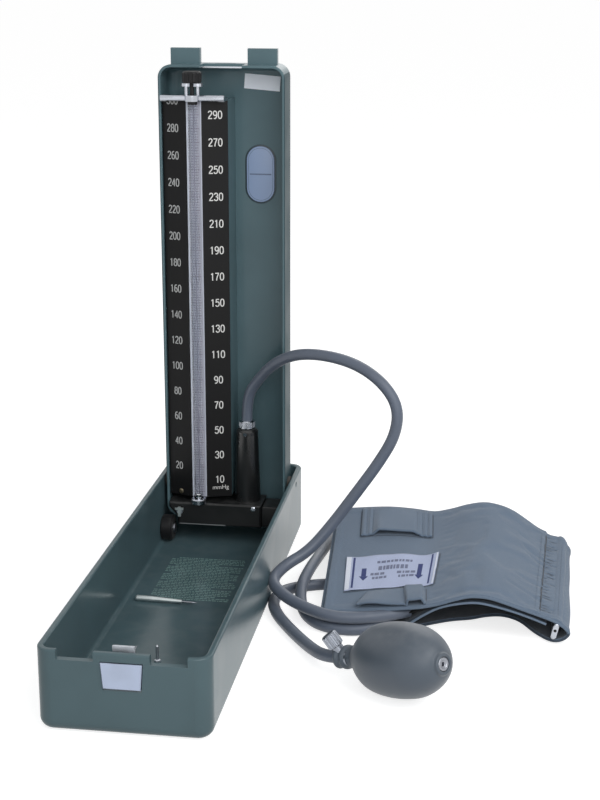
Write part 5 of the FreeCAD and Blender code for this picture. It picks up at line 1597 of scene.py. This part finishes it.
def label_lift(s, t):
    """The label's waves above the cloth."""
    wave = 0.35 * math.sin(2 * math.pi * (1.7 * s + 0.4 * t))
    wave += 0.25 * math.sin(2 * math.pi * (3.1 * s - 0.7 * t))
    return 1.35 + wave * (0.5 + 0.5 * abs(2 * t - 1)) + 0.5 * math.exp(-((1 - s) / 0.05) ** 2)


def make_label(ground):
    """The sewn label: a pale field with two lines, two arrows, folds and plain dashes."""
    at = patch_at(ground, LABEL, label_lift)
    label = grid("cuff_label_cloth", 60, 30, at)
    thicken(label, 0.35)
    dress(label, "base", "label cloth", "pale_plate", "cuff_label")

    def mark(bm, corners):
        """A face on the label, from the shares of its corners."""
        bm.faces.new([bm.verts.new(Vector(at(s, t, INK_LIFT)) * MM) for s, t in corners])

    def bar(bm, left, low, right, high, cells):
        """An upright mark, cut in cells that follow the cloth."""
        for cell in range(cells):
            foot, top = (low + (high - low) * (step / cells) for step in (cell, cell + 1))
            mark(bm, ((left, foot), (right, foot), (right, top), (left, top)))

    lines = bmesh.new()
    for line in LABEL_LINES:
        bar(lines, *line, 16)
    for centre, low, high in LABEL_ARROWS:
        neck = low + 0.13
        bar(lines, centre - 0.026, neck, centre + 0.026, high, 6)
        mark(lines, ((centre - 0.05, neck), (centre, low), (centre + 0.05, neck)))
    folds = bmesh.new()
    for fold in LABEL_FOLDS:
        bar(folds, *fold, 16)
    dashes = bmesh.new()
    draw = random.Random(11)
    for low, high, left, right in LABEL_ROWS:
        s = left
        while s < right - 0.02:
            width = min(draw.uniform(0.02, 0.05), right - s)
            bar(dashes, s, low, s + width, high, 1)
            s += width + draw.uniform(0.008, 0.014)
    marks = []
    for name, bm, finish in (
        ("label_border", lines, "label ink"), ("label_folds", folds, "label fold"),
        ("label_dashes", dashes, "grey print"),
    ):
        marks.append(dress(from_bmesh(name, bm), "base", finish, "pale_plate"))
    return marks


# The strap's corners, and where its pleats and its rows of stitches lie as shares of its width.
STRAP = ((107.6, 91.0), (158.0, 94.2), (155.4, 133.0), (104.2, 133.0))
STRAP_PLEATS = (0.03, 0.12, 0.82, 0.9, 0.975)
STRAP_SEAMS = (0.075, 0.165, 0.78, 0.86, 0.94)


def strap_lift(s, t):
    """The strap's loop: flat sewn ends, and a middle that stands off, most at the front left."""
    raised = window(s, 0.27, 0.72, 0.13)
    lean = 1.15 - 0.55 * s
    pleats = sum(math.exp(-((s - at) / 0.017) ** 2) for at in STRAP_PLEATS)
    wave = 0.25 * math.sin(9 * s + 4 * t) * raised
    return 1.5 + 3.8 * raised * lean * (1 - 0.75 * t) + 0.75 * pleats + wave


def make_strap(ground):
    """The sewn-on strap near the cuff's free end."""
    at = patch_at(ground, STRAP, strap_lift)
    strap = grid("cuff_strap_cloth", 110, 26, at)
    thicken(strap, 1.3)
    dress(strap, "base", "cuff cloth", "cuff_cloth", "cuff_strap")
    bm = bmesh.new()
    for s in STRAP_SEAMS:
        add_stitches(bm, [Vector(at(s, t / 20, 0.75)) for t in range(1, 20)], pitch=2.2)
    stitches = from_bmesh("strap_stitches", bm)
    dress(stitches, "base", "sewing thread", "cuff_cloth")
    return stitches


# Corners of the flap over the hose's way in, and of the loop beside it.
FLAP = ((116.2, -11.6), (148.4, -11.6), (146.2, 13.6), (121.2, 9.6))
LOOP = ((148.6, -11.6), (161.4, -11.2), (159.4, 12.6), (144.6, 11.8))


def flap_lift(s, t):
    """The flap's mouth at the front stands off the cloth."""
    mouth = 4.0 * (1 - t) * math.sin(math.pi * min(1, 0.3 + 0.62 * s))
    return 1.3 + mouth + 0.5 * math.sin(7 * s) * (1 - t)


def loop_lift(s, t):
    """The loop's middle stands off the cloth, and both its sides are sewn down."""
    return 1.2 + 4.6 * window(s, 0.16, 0.84, 0.16) * (1 - 0.25 * t) + 0.3 * math.sin(5 * t)


def make_flap(ground):
    """The cloth over the hose's way in, and the loop beside it."""
    flap = grid("cuff_pocket", 40, 26, patch_at(ground, FLAP, flap_lift))
    thicken(flap, 1.3)
    dress(flap, "base", "cuff cloth", "cuff_cloth", "cuff_flap")
    tab = grid("cuff_tab", 28, 24, patch_at(ground, LOOP, loop_lift))
    thicken(tab, 1.4)
    dress(tab, "base", "cuff cloth", "cuff_cloth")
    return [flap, tab]


# The folded tail's layers, how far its turns bulge, and what it keeps clear above and below.
TAIL_LAYERS = 4
TAIL_BULGE = 3.2
TAIL_MARGIN = 0.8


def make_inner_layers():
    """The lining, the flat bladder, and the folded tail under the strap."""
    lining = cloth_between("cuff_inner_cloth", LINING_FRONT, LINING_REAR, 8, 40)
    shift_by(lining, lambda x, y, z: 0.7 * noisy(x, y, 5, 30) * window(y, -6, 132, 5))
    thicken(lining, 1.5)
    # The lining takes the darkened copy of the cuff's cloth: painted shade.
    dress(lining, "base", "lining cloth", "cuff_cloth", "cuff_lining")
    bladder = cloth_between("cuff_pouch", BLADDER_FRONT, BLADDER_REAR, 7, 30)
    thicken(bladder, 1.5, round_off=1)
    dress(bladder, "base", "black rubber", "black_rubber", "cuff_bladder")
    low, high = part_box("cuff_tail")
    low, high = low / MM, high / MM
    layer = (high.z - low.z - 2 * TAIL_MARGIN) / (TAIL_LAYERS - 1)
    profile = []
    for level in range(TAIL_LAYERS):
        height = low.z + TAIL_MARGIN + layer * level
        ends = [low.x + 4 + level, high.x - 17 - 2 * level]
        if level % 2:
            ends.reverse()
        profile += [(ends[0], height), (sum(ends) / 2, height + 0.3), (ends[1], height)]
        if level < TAIL_LAYERS - 1:
            turn = -TAIL_BULGE if level % 2 else TAIL_BULGE
            profile.append((ends[1] + turn, height + layer / 2))
    front = [(x, low.y, z) for x, z in profile]
    rear = [(x - 1.5, high.y, z) for x, z in profile]
    tail = cloth_between("cuff_folded_tail", front, rear, 6, 16)
    thicken(tail, 1.5)
    dress(tail, "base", "cuff cloth", "cuff_cloth", "cuff_tail")
    return lining, bladder, tail


# The bar stands a little above its solid's middle, its hole as much again, and it leans right.
BAR_LIFT = 0.8
BAR_LEAN = (0.22, 0, 1)


def make_bar():
    """The flat metal loop in the fold: a rounded bar with a small hole in its end."""
    low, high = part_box("cuff_ring")
    centre = (low + high) / 2
    depth = (high.y - low.y) / MM
    place = facing((centre.x, low.y, centre.z + BAR_LIFT * MM), (0, -1, 0), BAR_LEAN)
    bar = plate("cuff_bar", oval(3.9, 11.4, 12), depth,
                place @ Matrix.Translation(spot(0, 0, -depth)), 0.9)
    dress(bar, "base", "polished plate", "plated", "cuff_ring")
    mouth = (centre.x, low.y, centre.z + 2 * BAR_LIFT * MM)
    hole = lathe("cuff_bar_hole", [(0, 0.2), (1.0, 0.12), (1.25, -0.4)], mouth, (0, -1, 0), 24)
    dress(hole, "base", "black rubber", "plated")
    return [bar, hole]


def make_cuff(settings):
    """The whole cuff."""
    wrap, inner_shade, ground = make_wrap(settings)
    sewing = make_cuff_stitches(ground) + make_hems()
    sewing.append(make_sewn_edges(ground))
    marks = make_label(ground)
    strap_sewing = make_strap(ground)
    flap, tab = make_flap(ground)
    lining, bladder, tail = make_inner_layers()
    bar = make_bar()


# ---- Bulb ----
# The bulb's middle in millimetres, and the directions of its neck and of its end valve.
BULB_CENTRE = (154, -103, 24.1)
BULB_AIM = (0.8452, -0.4781, 0.2371)
BULB_FACE = (0.742, -0.612, 0.262)


# Radius and height in millimetres, from the neck to the mouth that holds the end valve.
BULB_PROFILE = (
    (4.9, -49.4), (6.6, -49.0), (7.2, -47.4), (6.6, -45.8), (6.5, -44.6), (7.4, -43.6),
    (7.6, -42.2), (7.1, -40.8), (7.2, -39.0), (8.2, -36.4), (10.4, -34.0), (13.6, -31.0),
    (17.2, -26.6), (20.4, -20.6), (22.2, -13.4), (23.0, -6.0), (23.1, 1.0), (22.6, 8.0),
    (21.5, 15.0), (19.0, 21.4), (15.8, 26.6), (12.4, 30.4), (9.4, 32.6), (7.6, 33.4),
    (6.9, 34.2), (6.7, 35.0), (6.2, 35.6), (5.4, 35.8), (4.7, 35.5), (4.4, 34.8), (4.3, 32.0),
)
# The end valve's radius and height, and how far its foot is from the bulb's middle.
VALVE_PROFILE = (
    (4.35, 0), (4.35, 2.6), (3.9, 3.2), (2.6, 3.2), (2.2, 2.7), (1.35, 2.6), (1.1, 2.0),
    (1.0, 0.4), (0, 0.4),
)
VALVE_REACH = 32


def make_bulb():
    """The rubber bulb: a neck with a lip, an egg-shaped body and a lip round its end valve."""
    line = through([(radius, 0, height) for radius, height in BULB_PROFILE], 3)
    straight = Vector(BULB_AIM).normalized()
    turned = Vector(BULB_FACE).normalized()
    side = (turned - straight * turned.dot(straight)).normalized()
    angle = straight.angle(turned)

    def spine(height):
        """The body turns about its middle, and the neck bends back to the valve."""
        share = min(1.0, max(0.0, (height + 48) / 22))
        share = share * share * (3 - 2 * share)
        turn = angle * share
        aim = straight * math.cos(turn) + side * math.sin(turn)
        return Vector(BULB_CENTRE) + aim * height, aim

    bm = bmesh.new()
    rings = []
    segments = 96
    for point in line:
        centre, aim = spine(point.z)
        across = aim.cross(Vector((0, 0, 1))).normalized()
        above = across.cross(aim)
        ring = []
        for step in range(segments):
            around = 2 * math.pi * step / segments
            out = across * math.cos(around) + above * math.sin(around)
            ring.append(bm.verts.new((centre + out * point.x) * MM))
        rings.append(ring)
    join_rings(bm, rings)
    bulb = from_bmesh("bulb_body", bm, sharp=60)
    rest_on_table(bulb)
    dress(bulb, "base", "bulb rubber", "bulb_rubber", "bulb_rubber")
    foot = (Vector(BULB_CENTRE) + turned * VALVE_REACH) * MM
    valve = lathe("bulb_end_valve", rounded(VALVE_PROFILE, 0.3), foot, turned, 64)
    dress(valve, "base", "bright steel", "plated", "end_valve")


# ---- Operators ----
class Piece:
    """What the operators of the gauge share."""
    bl_options = {"REGISTER", "UNDO"}


class GAUGE_OT_stage(Piece, bpy.types.Operator):
    """Makes the camera, the floor and the lamps"""
    bl_idname = "gauge.stage"
    bl_label = "Stage"

    def execute(self, context):
        settings = context.scene.gauge_stage
        context.scene.view_settings.view_transform = "Standard"
        make_camera(settings)
        make_world(settings)
        make_floor()
        make_lamps(settings)
        return {"FINISHED"}


class GAUGE_OT_finishes(Piece, bpy.types.Operator):
    """Makes the materials and gives them to the solid pieces"""
    bl_idname = "gauge.finishes"
    bl_label = "Finishes"

    def execute(self, context):
        make_effects()
        make_finishes(context.scene)
        dress_nodes()
        return {"FINISHED"}


class GAUGE_OT_hoses(Piece, bpy.types.Operator):
    """Makes the two rubber hoses"""
    bl_idname = "gauge.hoses"
    bl_label = "Hoses"

    def execute(self, context):
        diameter = context.scene.gauge_rubber.bore
        make_gauge_hose(diameter)
        make_bulb_hose(diameter)
        return {"FINISHED"}


class GAUGE_OT_scale(Piece, bpy.types.Operator):
    """Makes the scale's numbers and graduations"""
    bl_idname = "gauge.scale"
    bl_label = "Scale"

    def execute(self, context):
        make_numbers(context.scene.gauge_scale)
        make_ticks(context.scene.gauge_scale)
        return {"FINISHED"}


class GAUGE_OT_case(Piece, bpy.types.Operator):
    """Makes the print on the tray's floor, the manifold's trim and the lid's oval plate"""
    bl_idname = "gauge.case"
    bl_label = "Case details"

    def execute(self, context):
        make_floor_print()
        make_manifold_trim()
        make_badge()
        return {"FINISHED"}


class GAUGE_OT_cuff(Piece, bpy.types.Operator):
    """Makes the cloth cuff with its label, strap, flap and inner layers"""
    bl_idname = "gauge.cuff"
    bl_label = "Cuff"

    def execute(self, context):
        make_cuff(context.scene.gauge_cuff)
        return {"FINISHED"}


class GAUGE_OT_bulb(Piece, bpy.types.Operator):
    """Makes the rubber bulb and its end valve"""
    bl_idname = "gauge.bulb"
    bl_label = "Bulb"

    def execute(self, context):
        make_bulb()
        return {"FINISHED"}


class GAUGE_PT_panel(bpy.types.Panel):
    """Lists the steps that dress the gauge"""
    bl_idname = "GAUGE_PT_panel"
    bl_label = "Blood-pressure gauge"
    bl_space_type = "VIEW_3D"
    bl_region_type = "UI"
    bl_category = "Gauge"

    def draw(self, context):
        for step in STEPS:
            self.layout.operator(step.bl_idname)
        for name, kind in SETTINGS.items():
            box = self.layout.box()
            for label in kind.__annotations__:
                box.prop(getattr(context.scene, name), label)


STEPS = (
    GAUGE_OT_stage, GAUGE_OT_finishes, GAUGE_OT_hoses, GAUGE_OT_scale, GAUGE_OT_case, GAUGE_OT_cuff,
    GAUGE_OT_bulb,
)


def register():
    """Adds the classes and the settings."""
    for kind in (*SETTINGS.values(), *STEPS, GAUGE_PT_panel):
        bpy.utils.register_class(kind)
    for name, kind in SETTINGS.items():
        setattr(bpy.types.Scene, name, bpy.props.PointerProperty(type=kind))


def unregister():
    """Removes the settings and the classes."""
    for name in SETTINGS:
        delattr(bpy.types.Scene, name)
    for kind in reversed((*SETTINGS.values(), *STEPS, GAUGE_PT_panel)):
        bpy.utils.unregister_class(kind)


def main():
    """Dresses the gauge."""
    register()
    for step in STEPS:
        family, name = step.bl_idname.split(".")
        getattr(getattr(bpy.ops, family), name)()


if __name__ == "__main__":
    main()
